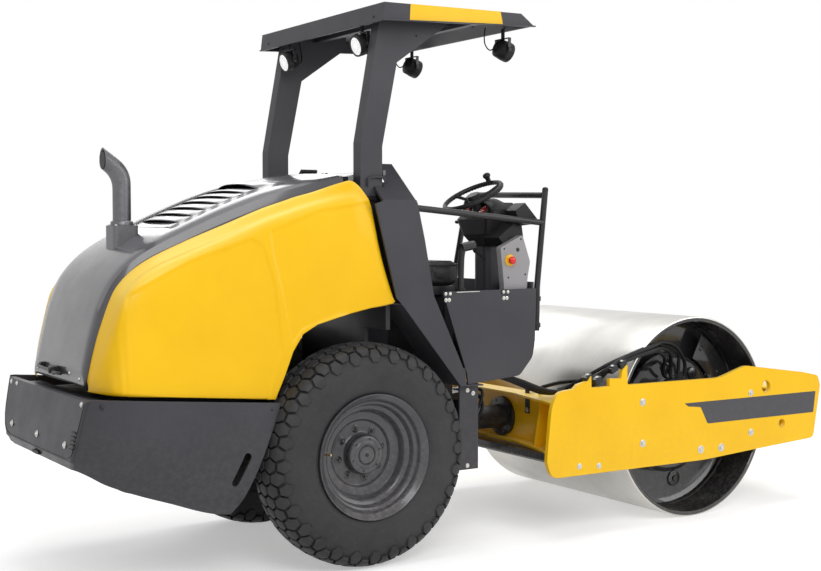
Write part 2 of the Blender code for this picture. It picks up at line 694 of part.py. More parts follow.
hinge = (hood_hinge_x, 0.0, hood_hinge_z)
node("hood_shell", hood, GREY, hinge, 35.0)


def panel_half(x):
    """Half width of the hood's side at a given x."""
    rows = [(hood_tail, 0.358)] + [(r[0], r[1]) for r in hood_line] + [(0.25, 0.562)]
    for (x0, w0), (x1, w1) in zip(rows, rows[1:]):
        if x <= x1:
            return w0 + (w1 - w0) * (x - x0) / (x1 - x0)
    return rows[-1][1]


panel_rows = [
    # x, foot z above the skirt line, foot half width, crease half width, crease z, top z
    (-1.297, 0.000, 0.386, 0.384, 0.945, 0.968),
    (-1.278, 0.000, 0.470, 0.440, 1.000, 1.058),
    (-1.240, 0.000, 0.550, 0.490, 1.120, 1.205),
    (-1.172, 0.000, 0.580, 0.522, 1.315, 1.375),
    (-1.070, 0.000, 0.585, 0.533, 1.410, 1.475),
    (-0.880, 0.000, 0.587, 0.543, 1.488, 1.573),
    (-0.660, 0.000, 0.588, 0.549, 1.565, 1.665),
    (-0.475, 0.000, 0.588, 0.556, 1.636, 1.741),
    (-0.424, 0.114, 0.588, 0.558, 1.655, 1.758),
    (-0.381, 0.223, 0.588, 0.560, 1.670, 1.772),
    (-0.328, 0.305, 0.588, 0.563, 1.690, 1.790),
    (-0.247, 0.355, 0.588, 0.568, 1.715, 1.812),
    (-0.115, 0.399, 0.588, 0.574, 1.740, 1.855),
    (-0.076, 0.412, 0.588, 0.576, 1.743, 1.866),
    (-0.050, 0.420, 0.588, 0.578, 1.745, 1.872),
    (0.053, 0.449, 0.588, 0.582, 1.690, 1.785),
    (0.109, 0.460, 0.588, 0.585, 1.490, 1.560),
    (0.180, 0.477, 0.588, 0.587, 1.290, 1.303),
]
panel_rings = []
for x, lift, foot_half, crease_half, crease, top in panel_rows:
    foot = skirt_top_front + panel_gap + skirt_slope * (x - arch_rear) + lift
    inn = panel_half(x) + seat_gap
    rise = top - foot
    middle = foot + 0.5 * (crease - foot)
    middle_half = 0.5 * (foot_half + crease_half) + 0.006
    panel_rings.append([
        (x, -(foot_half - 0.006), foot), (x, -foot_half, foot + min(0.03, 0.2 * rise)), (x, -middle_half, middle),
        (x, -crease_half, crease), (x, -(inn + panel_skin), top - 0.004), (x, -inn, top),
        (x, -inn, top - min(0.045, 0.35 * rise)), (x, -(crease_half - panel_skin), crease - 0.012 - 0.02 * rise),
        (x, -(middle_half - panel_skin), middle), (x, -(foot_half - 0.006 - panel_skin), foot + 0.001),
    ])
both_sides("hood_side", loft(panel_rings), YELLOW, hinge, 30.0)

# louvre panel: a framed field of slats
slat_count = 7
field_rear = -0.860
field_front = -0.275


def top_line(x):
    for a, b in zip(hood_line, hood_line[1:]):
        if x <= b[0]:
            return a[2] + (b[2] - a[2]) * (x - a[0]) / (b[0] - a[0])
    return hood_line[-1][2]


slope_rise = top_line(field_front) - top_line(field_rear)
louvre_parts = []
for y0, y1 in ((-0.272, -0.25), (-0.012, 0.012), (0.25, 0.272)):
    lo = top_line(field_rear)
    hi = top_line(field_front)
    louvre_parts.append(prism([(field_rear, lo - 0.008), (field_front, hi - 0.008), (field_front, hi + 0.016),
                               (field_rear, lo + 0.016)], [], "Y", y0, y1))
for x in (field_rear, field_front - 0.02):
    z = top_line(x)
    louvre_parts.append(prism([(x, z - 0.008), (x + 0.02, z), (x + 0.02, z + 0.020), (x, z + 0.012)], [], "Y",
                              -0.272, 0.272))
for i in range(slat_count):
    x = field_rear + 0.05 + i * (field_front - field_rear - 0.08) / slat_count
    z = top_line(x)
    louvre_parts.append(prism([(x, z - 0.004), (x + 0.006, z - 0.010), (x + 0.062, z + 0.034), (x + 0.058, z + 0.042)],
                              [], "Y", -0.255, 0.255))
node("louvre_panel", fused(louvre_parts), BLACK, hinge)

# exhaust: bent pipe with a slanted mouth on a square collar
collar = prism(soft_outline([(stack_x - collar_half, stack_y - collar_half), (stack_x + collar_half, stack_y - collar_half),
                             (stack_x + collar_half, stack_y + collar_half), (stack_x - collar_half, stack_y + collar_half)],
                            0.02), [], "Z", 1.48, 1.655)
stack_path = round_corners([(stack_x, stack_y, 1.64), (stack_x, stack_y, 1.905), (stack_x - 0.14, stack_y, 2.005)],
                           0.09, 6)
stack = pipe(stack_path, 0.043, 20)
mouth = moved(lathe([(0.036, -0.02), (0.036, 0.10)], 16), (0, 0, 0), Matrix.Rotation(radians(90), 4, "X"))
mouth = moved(mouth, (0, 0, 0), Matrix.Rotation(radians(-54), 4, "Y"))
mouth = moved(mouth, (stack_x - 0.075, stack_y, 1.959))
slant = block((stack_x - 0.4, stack_y - 0.1, 1.9), (stack_x - 0.092, stack_y + 0.1, 2.3))
exhaust = fused([collar, stack], [slant, mouth])
node("exhaust_stack", exhaust, GREY, hinge, 35.0)

latch = fused([block((hood_tail - 0.02, -0.17, 0.972), (hood_tail - seat_gap, 0.17, 0.998)),
               block((hood_tail - 0.045, -0.05, 0.962), (hood_tail - 0.008, 0.05, 1.008))])
node("hood_latch", latch, BLACK, hinge)

# bulkhead behind the seat: closes the hood's front and carries the canopy posts
hinge_table = [-0.30, 0.30]
bulkhead_parts = []
for y in hinge_table:
    arm_outline = [(0.05, 1.782), (0.07, 1.798), (hood_hinge_x + 0.012, 1.852), (hood_hinge_x + 0.010, hood_hinge_z + 0.004),
                   (hood_hinge_x, hood_hinge_z + 0.009), (hood_hinge_x - 0.010, hood_hinge_z + 0.004),
                   (hood_hinge_x - 0.012, 1.835)]
    bulkhead_parts.append(prism(arm_outline, [], "Y", y - 0.012, y + 0.012))
bulkhead = fused([
    block((0.16, -chassis_half, chassis_top + seat_gap), (0.185, chassis_half, 1.20)),
    block((0.16, -0.540, 1.14), (0.185, 0.540, 1.80)),
    block((0.16, -0.44, 1.79), (0.172, 0.44, 1.9008)),
    block((0.02, -0.532, 1.778), (0.185, 0.532, 1.80)),
    block((0.02, -0.525, 1.28), (0.17, -0.455, 1.79)),
    block((0.02, 0.455, 1.28), (0.17, 0.525, 1.79)),
] + bulkhead_parts)
node("bulkhead", bulkhead, BLACK, (0.1, 0.0, 1.3))

# fixed cover between the hood and the posts
cover = loft([
    [(-0.030, -0.50, 1.870), (-0.030, -0.50, 1.895), (-0.030, 0.50, 1.895), (-0.030, 0.50, 1.870)],
    [(0.185, -0.50, 1.905), (0.185, -0.50, 1.93), (0.185, 0.50, 1.93), (0.185, 0.50, 1.905)],
])
post_slots = [block((0.0, s * 0.49 - 0.06, 1.7), (0.17, s * 0.49 + 0.06, 2.1)) for s in (-1, 1)]
node("hood_front_cover", fused([cover], post_slots), GREY, (0.05, 0.0, 1.9))

# fender and pillar covers: folded sheet from the post foot down to the platform
pillar_outline = [
    (0.058, 1.760), (0.105, 1.776), (0.294, 1.781), (0.302, 1.765), (0.345, 1.584), (0.400, 1.305),
    (0.595, 0.90), (0.600, 0.84), (0.565, 0.84), (0.215, 1.262), (0.180, 1.30), (0.100, 1.60),
]
pillar = prism(pillar_outline, [], "Y", -0.6124, -0.6004)
cap_profile = [(-0.6124, 1.770), (-0.6124, 1.781), (-0.390, 1.967), (-0.382, 1.957), (-0.602, 1.770)]
cap_front = prism(cap_profile, [], "X", 0.190, 0.290)
cap_side = prism([(-0.6124, 1.770), (-0.6124, 1.781), (-0.534, 1.8466), (-0.534, 1.829), (-0.602, 1.770)], [], "X",
                 0.100, 0.200)
cap_foot = prism([(-0.6124, 1.770), (-0.6124, 1.781), (-0.506, 1.8698), (-0.506, 1.852), (-0.602, 1.770)], [], "X",
                 0.1555, 0.200)
cap_face = prism([(-0.610, 1.715), (-0.610, 1.778), (-0.400, 1.954), (-0.400, 1.840), (-0.508, 1.715)], [], "X",
                 0.276, 0.290)
lower_fold = prism([(0.300, 1.765), (0.344, 1.584), (0.399, 1.305), (0.387, 1.305), (0.332, 1.582), (0.284, 1.765)], [],
                   "Y", -0.61, -0.508)
arch_fold = prism([(0.215, 1.262), (0.565, 0.84), (0.708, 0.834), (0.708, 0.8420), (0.612, 0.8432), (0.571, 0.852), (0.224, 1.270)],
                  [], "Y", -0.61, -0.40)
lower_plate = prism([(0.590, 0.40), (0.708, 0.40), (0.708, 0.838), (0.590, 0.8475)], [], "Y", -0.565, -0.553)
both_sides("pillar_cover", fused([pillar, cap_front, cap_side, cap_foot, cap_face, lower_fold, arch_fold, lower_plate]), GREY, (0.3, -0.61, 1.4))

# platform: open tub with a floor, side plates cut back at the foot, and a front wall
side_outline = soft_outline([
    (tub_rear + 0.06, tub_top), (tub_front, tub_top + 0.004), (tub_front - 0.008, 1.054), (1.037, 0.965, 0.02),
    (0.951, 0.871, 0.02), (0.62, 0.844), (0.612, 0.90), (0.47, tub_top - 0.02),
], 0.0)
tub_parts = [
    prism(side_outline, [], "Y", -tub_half, -(tub_half - tub_wall)),
    prism(side_outline, [], "Y", tub_half - tub_wall, tub_half),
    block((0.58, -(tub_half - 0.004), tub_floor - 0.02), (0.985, tub_half - 0.004, tub_floor)),
    block((0.30, -0.395, tub_floor - 0.02), (0.60, 0.395, tub_floor)),
    prism([(1.046, 1.36), (1.034, 1.36), (1.020, 0.98), (0.965, tub_floor - 0.01), (0.985, tub_floor - 0.02),
           (1.036, 0.975)], [], "Y", -(tub_half - 0.004), tub_half - 0.004),
    block((0.30, -chassis_half, chassis_top + seat_gap), (0.80, chassis_half, tub_floor - 0.01)),
]
node("platform_tub", fused(tub_parts), GREY, (0.75, 0.0, 1.1))

# heights of the roof's lower edge and of its ceiling
def roof_z(x):
    return roof_under + roof_rise * (x - roof_rear) / (roof_front - roof_rear)


def roof_ceiling(x):
    low = roof_under + roof_height - roof_sheet
    high = roof_z(roof_nose) + 0.054
    return low + (high - low) * (x - roof_rear - 0.02) / (roof_nose - roof_rear - 0.02)


# canopy posts: square tubes, upright at the foot and leaning forward above the kink, with gussets
post_inner = post_outer - post_width
top_x = post_foot_x + post_lean
top_z = roof_under - 0.004
post_height = roof_under - post_foot_z
post_kink_z = post_foot_z + post_kink_share * post_height
gusset_z = post_foot_z + gusset_share * post_height
post_line = [
    (post_foot_x, post_foot_z + seat_gap), (post_foot_x + post_depth, post_foot_z + seat_gap),
    (post_foot_x + post_depth, post_kink_z - 0.016), (top_x + post_depth - 0.02, gusset_z), (0.52, top_z + 0.026),
    (0.52, roof_ceiling(0.52) - seat_gap), (top_x + 0.012, roof_ceiling(top_x + 0.012) - seat_gap),
    (top_x, top_z + 0.004), (post_foot_x, post_kink_z),
]
post = prism(post_line, [], "Y", -post_outer, -post_inner)
both_sides("canopy_post", post, GREY, (0.1, -post_outer, 2.0))

# roof: shallow tray with a lip, rising forward and cut back at the nose
roof_side = [
    (roof_rear, roof_under), (roof_front, roof_z(roof_front) + 0.004), (0.915, roof_z(0.915) + 0.066),
    (roof_rear + 0.011, roof_under + roof_height),
]
roof_inner = [
    (roof_rear + roof_sheet, roof_under - 0.1), (roof_rear + 0.02, roof_ceiling(roof_rear + 0.02)),
    (roof_nose, roof_ceiling(roof_nose)), (0.988, roof_z(0.99)), (0.988, roof_under - 0.1),
]
roof_parts = [prism(roof_side, [], "Y", -roof_half, roof_half)]
for s in (-1.0, 1.0):
    roof_parts.append(prism([(roof_rear, roof_under), (roof_front, roof_z(roof_front)),
                             (roof_front, roof_z(roof_front) + 0.006), (roof_rear, roof_under + 0.006)], [], "Y",
                            min(s * (roof_half - 0.002), s * (roof_half + 0.014)),
                            max(s * (roof_half - 0.002), s * (roof_half + 0.014))))
roof_cut = [prism(roof_inner, [], "Y", -(roof_half - 0.01), roof_half - 0.01)]
roof_body = fused(roof_parts, roof_cut)
node("canopy_roof", roof_body, GREY, (0.5, 0.0, roof_under))

# seat: pedestal, cushion and back rest
seat_base = fused([
    block((0.42, station_y - 0.09, tub_floor + seat_gap), (0.60, station_y + 0.16, 1.20)),
    block((0.36, station_y - 0.09, 1.12), (0.62, station_y + 0.16, 1.31)),
    block((0.33, station_y - 0.16, 1.30), (0.63, station_y + 0.16, 1.345)),
])
node("seat_base", seat_base, BLACK, (0.6, station_y, 1.0))


def cushion(x0, x1, y0, y1, z0, z1, soft):
    rings = []
    for k in range(5):
        t = k / 4
        edge = soft * (1 - sin(pi * (0.12 + 0.76 * t))) * 1.2
        z = z0 + (z1 - z0) * t
        points = soft_outline([(x0 + edge, y0 + edge), (x1 - edge, y0 + edge), (x1 - edge, y1 - edge),
                               (x0 + edge, y1 - edge)], 0.06, 4)
        rings.append([(x, y, z) for x, y in points])
    return loft(rings)


node("seat_cushion", cushion(0.285, 0.665, station_y - 0.20, station_y + 0.20, 1.345 + seat_gap, 1.475, 0.05), VINYL,
     (0.5, station_y, 1.40), 50.0)
back = cushion(-0.05, 0.05, -0.20, 0.20, 0.0, 0.215, 0.03)
back = moved(back, (0, 0, 0), Matrix.Rotation(radians(-12), 4, "Y"))
back = moved(back, (0.36, station_y, 1.4810))
node("seat_back", back, VINYL, (0.36, station_y, 1.49), 50.0)

# steering column, dash pod and control box
def column_ring(cx, a, b, z):
    points = soft_outline([(-a, -b), (a, -b), (a, b), (-a, b)], 0.03, 3)
    return [(cx + x, station_y + y, z) for x, y in points]


column = loft([
    column_ring(0.905, 0.052, 0.065, tub_floor + seat_gap), column_ring(0.960, 0.053, 0.065, 1.06),
    column_ring(0.965, 0.055, 0.062, 1.40), column_ring(0.9625, 0.055, 0.060, 1.5446),
])
node("steering_column", column, GREY, (0.93, station_y, 1.2), 40.0)

wheel_turn = Matrix.Rotation(radians(-wheel_tilt), 4, "Y")
box_outer_y = 0.025 - tub_half
box_inner_y = 0.065 - tub_half
pod_shell = loft([
    column_ring(0.9625, 0.0575, 0.075, 1.545), column_ring(0.970, 0.100, 0.125, 1.61),
    column_ring(0.970, 0.118, 0.150, 1.69), column_ring(0.995, 0.095, 0.140, 1.745),
    column_ring(1.010, 0.055, 0.100, 1.780),
])
boss = moved(lathe([(0.034, -0.125), (0.030, -0.050 - pin_play)], 16), (0, 0, 0),
             wheel_turn @ Matrix.Rotation(radians(90), 4, "X"))
boss = moved(boss, wheel_centre)
display = prism([(0.955, 1.735), (1.018, 1.776), (1.102, 1.69), (1.085, 1.665), (0.985, 1.655)], [], "Y",
                box_inner_y - 0.020, box_inner_y + 0.070)
bracket = prism([(0.860, 1.594), (0.900, 1.550), (1.023, 1.587), (1.010, 1.668), (0.960, 1.668)], [], "Y",
                box_inner_y, box_inner_y + 0.135)
node("dash_pod", fused([pod_shell, boss, bracket, display]), BLACK, (0.96, station_y, 1.68), 40.0)

control_outline = soft_outline([
    (0.875, tub_floor + seat_gap), (0.950, tub_floor + seat_gap), (1.012, 1.02), (1.016, 1.30), (1.020, 1.379),
    (1.037, 1.466), (0.985, 1.608), (0.842, 1.542), (0.865, 1.349),
], 0.01, 2)
node("control_box", prism(control_outline, [], "Y", box_outer_y, box_inner_y - seat_gap), PALE, (0.95, -0.55, 1.3))

lever_y = 0.055 - tub_half
lever = fused([
    pipe(round_corners([(0.61, lever_y, 1.295 + seat_gap), (0.61, lever_y, 1.36), (0.615, lever_y, 1.50),
                        (0.628, lever_y, 1.55)], 0.03), 0.016, 10),
    pipe([(0.612, lever_y, 1.543), (0.692, lever_y, 1.556)], 0.024, 10),
])
node("drive_lever", lever, BLACK, (0.61, lever_y, 1.3), 40.0)
console = block((0.585, lever_y - 0.03, tub_floor + seat_gap), (0.68, lever_y + 0.03, 1.295))
node("lever_console", console, BLACK, (0.63, lever_y, 1.1))

# steering wheel: rim, three spokes, hub and knob, turned round its own tilted axis
ring_profile = [(wheel_rim_radius + 0.013 * cos(2 * pi * k / 8), 0.013 * sin(2 * pi * k / 8)) for k in range(8)]
wheel_parts = [moved(ring_body(ring_profile, 32), (0, 0, 0), Matrix.Rotation(radians(90), 4, "X"))]
wheel_parts.append(moved(lathe([(0.034, -0.050), (0.038, -0.006), (0.03, 0.004)], 16), (0, 0, 0),
                         Matrix.Rotation(radians(90), 4, "X")))
for a in (90.0, 210.0, 330.0):
    t = radians(a)
    wheel_parts.append(pipe([(0.02 * cos(t), 0.02 * sin(t), -0.022), (0.09 * cos(t), 0.09 * sin(t), -0.018),
                             (wheel_rim_radius * cos(t), wheel_rim_radius * sin(t), 0.0)], 0.009, 8))
knob_x = knob_radius * cos(radians(knob_angle))
knob_y = knob_radius * sin(radians(knob_angle))
wheel_parts.append(pipe([(knob_x, knob_y, -0.004), (knob_x, knob_y, 0.045)], 0.014, 10))
steering = moved(moved(fused(wheel_parts), (0, 0, 0), wheel_turn), wheel_centre)
node("steering_wheel", steering, BLACK, wheel_centre, 40.0)

# hand rails
rail_radius = 0.0165
rail_y = 0.02 - tub_half
right_rail = fused([
    pipe([(1.0775, rail_y, 1.10), (1.080, rail_y, 1.33), (1.133, rail_y, 1.845)], rail_radius, 12),
    pipe([(0.3117, rail_y, 1.7425), (0.40, rail_y, 1.735), (1.112, rail_y, 1.672)], rail_radius, 12),
])
node("handrail_right", right_rail, BLACK, (1.07, rail_y, 1.3), 40.0)
front_rail = pipe(round_corners([(1.130, rail_y + 0.0173, 1.817), (1.126, -0.20, 1.826), (1.126, 0.115, 1.834),
                                 (1.070, 0.160, 1.40), (1.067, 0.172, 1.10)], 0.07, 5), rail_radius, 12)
node("handrail_front", front_rail, BLACK, (1.1, 0.0, 1.8), 40.0)

# work lamps: ribbed round housing, yoke bracket and lead
rear_lamp_z = roof_under - 0.081
front_lamp_z = roof_under - 0.053
lamp_table = [
    # name, x, y, z, facing
    ("work_lamp_rear_right", 0.120, -0.385, rear_lamp_z, -1.0),
    ("work_lamp_rear_left", 0.120, 0.385, rear_lamp_z, -1.0),
    ("work_lamp_front_right", 0.955, -0.440, front_lamp_z, 1.0),
    ("work_lamp_front_left", 0.955, 0.440, front_lamp_z, 1.0),
]
for name, x, y, z, facing in lamp_table:
    can = moved(lathe([(0.030, 0.045), (0.046, 0.035), (0.048, 0.0), (0.052, -0.004), (0.052, -0.032),
                       (0.046, -0.036)], 20), (0, 0, 0), Matrix.Rotation(radians(90.0), 4, "Z"))
    if facing < 0:
        can = moved(can, (0, 0, 0), Matrix.Rotation(pi, 4, "Z"))
    can = moved(can, (0, 0, 0), Matrix.Rotation(radians(18.0 * facing), 4, "Y"))
    can = moved(can, (x, y, z))
    top = min(roof_ceiling(x - 0.010), roof_ceiling(roof_nose) - 0.63 * (x + 0.010 - roof_nose)) - 0.0005
    arm = pipe([(x, y, z + 0.03), (x, y, top)], 0.010, 8)
    node(name, fused([can, arm]), BLACK, (x, y, z), 35.0)

# hose bundle from the middle joint over the beam to the drum carrier
hose_side = yoke_outer - 0.0395
hose_seat = head_out + 0.1015
hose_path = [
    (1.33, -0.30, beam_top + seat_gap), (1.33, -0.30, 0.75), (1.37, -0.42, 0.790), (1.42, -0.62, 0.82), (1.47, -hose_side, 0.875),
    (1.60, -hose_side, 0.925), (1.80, -hose_side, 0.968), (1.92, -(hose_seat + 0.1185), 0.975),
    (2.06, -(hose_seat + 0.0435), 0.930), (2.10, -hose_seat, 0.850), (2.10, -hose_seat, 0.7806),
]
node("drum_hose", pipe(round_corners(hose_path, 0.10, 2), 0.011, 8), HOSE, (1.5, -0.5, 0.8), 60.0)

# steering cylinder on the left: barrel on the chassis, rod's eye between the arms of the knuckle
cylinder_base = (cylinder_rear, cylinder_rear_y, cylinder_z)
cylinder_tip = (cylinder_front, cylinder_front_y, cylinder_z)
cylinder_angle = atan2(cylinder_front_y - cylinder_rear_y, cylinder_front - cylinder_rear)
along_x = Matrix.Rotation(radians(-90) + cylinder_angle, 4, "Z")
barrel_length = 0.338
rod_length = 0.33
eye_radius = 0.027


def eye(x, y):
    return prism(circle(x, y, eye_radius, 16), [], "Z", cylinder_z - 0.020, cylinder_z + 0.020)


barrel_tube = lathe([(0.016, 0.020), (0.018, 0.034), (barrel_radius, 0.046), (barrel_radius, barrel_length - 0.008),
                     (barrel_radius - 0.004, barrel_length), (rod_radius + pin_play, barrel_length),
                     (rod_radius + pin_play, 0.038), (0.004, 0.038)], 16)
barrel_tube = moved(barrel_tube, cylinder_base, along_x)
barrel_bore = prism(circle(cylinder_rear, cylinder_rear_y, pin_radius + pin_gap, 12), [], "Z", cylinder_z - 0.05,
                    cylinder_z + 0.05)
barrel = fused([barrel_tube, eye(cylinder_rear, cylinder_rear_y)], [barrel_bore])
node("steering_barrel", barrel, BLACK, cylinder_base, 35.0)
rod = lathe([(0.010, -rod_length), (rod_radius, -rod_length + 0.004), (rod_radius, -0.02)], 14)
rod = moved(rod, cylinder_tip, along_x)
rod = fused([rod, eye(cylinder_front, cylinder_front_y)])
node("steering_rod", rod, CHROME, cylinder_tip, 35.0)
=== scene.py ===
"""Looks for a single-drum soil compactor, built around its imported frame.
Lengths are metres. X runs forward from the rear axle, Y to the left, Z up from the ground, and
every piece is moved by the same shift into the frame's own place."""
from math import cos, sin, pi, radians, hypot
import bpy
import bmesh
from mathutils import Vector, Matrix
from mathutils.geometry import tessellate_polygon


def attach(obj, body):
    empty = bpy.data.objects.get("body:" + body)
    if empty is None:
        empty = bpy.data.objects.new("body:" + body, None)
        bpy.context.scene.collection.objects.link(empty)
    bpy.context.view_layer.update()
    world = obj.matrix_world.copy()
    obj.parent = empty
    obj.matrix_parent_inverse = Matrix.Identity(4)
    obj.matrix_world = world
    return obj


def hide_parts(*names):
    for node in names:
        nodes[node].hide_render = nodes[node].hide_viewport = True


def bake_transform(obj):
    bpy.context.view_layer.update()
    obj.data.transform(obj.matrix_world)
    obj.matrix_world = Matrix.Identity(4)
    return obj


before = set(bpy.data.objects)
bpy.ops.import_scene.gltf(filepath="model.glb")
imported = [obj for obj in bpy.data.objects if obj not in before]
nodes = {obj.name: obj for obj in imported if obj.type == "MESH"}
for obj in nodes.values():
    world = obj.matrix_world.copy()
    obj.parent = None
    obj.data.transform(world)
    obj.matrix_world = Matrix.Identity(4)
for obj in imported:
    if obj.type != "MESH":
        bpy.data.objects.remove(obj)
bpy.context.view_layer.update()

# camera
yaw = radians(-33.109)
pitch = radians(2.486)
view_along = Vector((-sin(yaw) * cos(pitch), cos(yaw) * cos(pitch), -sin(pitch)))
view_right = Vector((cos(yaw), sin(yaw), 0.0))
view_up = view_right.cross(view_along)
camera_data = bpy.data.cameras.new("photo_camera")
camera_data.lens = 57.21
camera_data.sensor_width = 36.0
camera_data.sensor_fit = "HORIZONTAL"
camera_data.clip_end = 200.0
camera = bpy.data.objects.new("photo_camera", camera_data)
bpy.context.scene.collection.objects.link(camera)
camera_place = Matrix((view_right, view_up, -view_along)).transposed().to_4x4()
camera_place.translation = Vector((-4.1152, -5.998, 1.639))
camera.matrix_world = camera_place
bpy.context.scene.camera = camera

# sizes shared with the solids, in metres from the rear axle, and the shift into the frame's place
shift = Vector((-0.8622, 0.0, 0.0))
track_half = 0.565
tyre_radius = 0.545
drum_x = 2.142
drum_radius = 0.57
drum_half = 0.685
drum_wall = 0.026
drum_head = 0.435
yoke_outer = 0.74
pivot_x = 1.0
joint_z = 0.56
beam_face = 1.2935
roof_half = 0.648
roof_low = 2.637
station_y = -0.30


# materials
soft_specular = 0.22
white = (1.0, 1.0, 1.0, 1.0)


def new_material(name, colour, roughness, metallic=0.0, coat=0.0, coat_roughness=0.1):
    material = bpy.data.materials.new(name)
    material.use_nodes = True
    shader = material.node_tree.nodes["Principled BSDF"]
    for socket, value in (("Base Color", (*colour, 1.0)), ("Roughness", roughness), ("Metallic", metallic),
                          ("Coat Weight", coat), ("Coat Roughness", coat_roughness),
                          ("Specular IOR Level", soft_specular)):
        shader.inputs[socket].default_value = value
    material.diffuse_color = (*colour, 1.0)
    return material


def add_node(owner, kind, inputs=None, **settings):
    """A shader node with its settings; an input takes a plain value or a socket to link from."""
    item = owner.node_tree.nodes.new("ShaderNode" + kind)
    for key, value in settings.items():
        setattr(item, key, value)
    for key, value in (inputs or {}).items():
        if isinstance(value, bpy.types.NodeSocket):
            owner.node_tree.links.new(value, item.inputs[key])
        else:
            item.inputs[key].default_value = value
    return item


def coords_of(owner):
    """The object's own coordinates, from one node that the whole material shares."""
    coords = owner.node_tree.nodes.get("coords") or add_node(owner, "TexCoord", name="coords")
    return coords.outputs["Object"]


def noise_of(material, scale, detail=3.0, stretch=None, roughness=0.55):
    """Noise in the object's own coordinates; stretch is a scale for each axis."""
    where = coords_of(material)
    if stretch is not None:
        where = add_node(material, "Mapping", {"Scale": stretch, "Vector": where}).outputs["Vector"]
    texture = add_node(material, "TexNoise",
                       {"Scale": scale, "Detail": detail, "Roughness": roughness, "Vector": where})
    return texture.outputs["Fac"]


def ramp_of(material, source, stops):
    """Colour ramp over a value; stops are (place, colour)."""
    ramp = add_node(material, "ValToRGB", {"Fac": source})
    while len(ramp.color_ramp.elements) < len(stops):
        ramp.color_ramp.elements.new(0.5)
    for element, (position, colour) in zip(ramp.color_ramp.elements, stops):
        element.position = position
        element.color = (*colour, 1.0)
    return ramp.outputs["Color"]


def range_of(owner, source, low, high, out_low, out_high):
    limits = {"From Min": low, "From Max": high, "To Min": out_low, "To Max": out_high, "Value": source}
    return add_node(owner, "MapRange", limits).outputs["Result"]


def maths(owner, operation, a, b):
    return add_node(owner, "Math", {0: a, 1: b}, operation=operation).outputs["Value"]


def mixed(material, factor, a, b):
    """Mix of two colours; each is a socket or a plain colour."""
    first, second = [(*value, 1.0) if isinstance(value, tuple) else value for value in (a, b)]
    return add_node(material, "Mix", {0: factor, 6: first, 7: second}, data_type="RGBA").outputs[2]


def shade(colour, share):
    return tuple(c * share for c in colour)


def rounded_normal(material, radius):
    return add_node(material, "Bevel", {"Radius": radius}, samples=4).outputs["Normal"]


def edge_mask(material, radius):
    """1 along convex and concave edges, 0 on open faces."""
    geometry = add_node(material, "NewGeometry")
    dot = add_node(material, "VectorMath", {0: rounded_normal(material, radius), 1: geometry.outputs["Normal"]},
                   operation="DOT_PRODUCT")
    return range_of(material, dot.outputs["Value"], 0.995, 0.90, 0.0, 1.0)


def finish(material, colour, roughness, height, strength, distance, soft_edge=0.0):
    """Joins the worked colour, roughness and bump to the shader."""
    links = material.node_tree.links
    shader = material.node_tree.nodes["Principled BSDF"]
    links.new(colour, shader.inputs["Base Color"])
    if roughness is not None:
        links.new(roughness, shader.inputs["Roughness"])
    bump = {"Strength": strength, "Distance": distance, "Height": height}
    if soft_edge > 0.0:
        bump["Normal"] = rounded_normal(material, soft_edge)
    links.new(add_node(material, "Bump", bump).outputs["Normal"], shader.inputs["Normal"])
    return material


def painted(name, colour, light, dark, roughness, coat, coat_roughness, grain, grain_depth, dust, worn, worn_share,
            painted_sheen=None):
    """Paint with slow shade changes, fine peel, dust that thickens toward the ground and rubbed edges.

    A sheen colour is a painted highlight: faces that lean upward are mixed toward it, a painted reflection of the
    bright light above.
    """
    material = new_material(name, colour, roughness, 0.0, coat, coat_roughness)
    tone = ramp_of(material, noise_of(material, 2.3, 4.0), [(0.30, dark), (0.50, colour), (0.72, light)])
    if painted_sheen is not None:
        # painted highlight: the more a face leans upward, the more it takes the pale sheen colour
        normal = add_node(material, "NewGeometry").outputs["Normal"]
        lean = add_node(material, "SeparateXYZ", {"Vector": normal}).outputs["Z"]
        tone = mixed(material, range_of(material, lean, 0.16, 0.62, 0.0, 0.42), tone, painted_sheen)
    speckle = noise_of(material, 38.0, 6.0, None, 0.7)
    height = add_node(material, "SeparateXYZ", {"Vector": coords_of(material)}).outputs["Z"]
    low = range_of(material, height, 0.9, 0.25, 0.0, 1.0)
    dusty = maths(material, "MULTIPLY", range_of(material, speckle, 0.42, 0.66, 0.0, dust), low)
    toned = mixed(material, dusty, tone, (0.36, 0.33, 0.28))
    chips = range_of(material, noise_of(material, 65.0, 4.0), 0.50, 0.62, 0.0, worn_share)
    coloured = mixed(material, maths(material, "MULTIPLY", edge_mask(material, 0.0035), chips), toned, worn)
    rough = range_of(material, noise_of(material, 7.0, 5.0), 0.3, 0.7, roughness - 0.05, roughness + 0.08)
    return finish(material, coloured, rough, noise_of(material, grain, 2.0), grain_depth, 0.0006, 0.003)


# the yellow's last colour is a painted sheen, a pale highlight painted on faces that lean upward
yellow = painted("yellow_paint_worked", (0.96, 0.555, 0.003), (1.0, 0.585, 0.005), (0.93, 0.525, 0.002),
                 0.38, 0.12, 0.07, 260.0, 0.035, 0.08, (0.85, 0.60, 0.15), 0.20, (1.0, 0.80, 0.22))
grey = painted("grey_paint_worked", (0.052, 0.051, 0.059), (0.060, 0.059, 0.067), (0.045, 0.044, 0.051),
               0.46, 0.06, 0.22, 520.0, 0.08, 0.10, (0.13, 0.13, 0.14), 0.40)
hood_grey = painted("hood_grey_worked", (0.060, 0.059, 0.067), (0.068, 0.067, 0.076), (0.052, 0.051, 0.058),
                    0.30, 0.78, 0.10, 240.0, 0.03, 0.08, (0.16, 0.16, 0.17), 0.3)
black = painted("black_paint_worked", (0.014, 0.014, 0.016), (0.019, 0.019, 0.021), (0.010, 0.010, 0.012),
                0.40, 0.35, 0.18, 480.0, 0.07, 0.18, (0.09, 0.09, 0.09), 0.5)
gloss_black = painted("gloss_black_worked", (0.024, 0.024, 0.027), (0.032, 0.032, 0.035), (0.018, 0.018, 0.020),
                      0.24, 0.9, 0.06, 200.0, 0.03, 0.14, (0.10, 0.10, 0.10), 0.35)
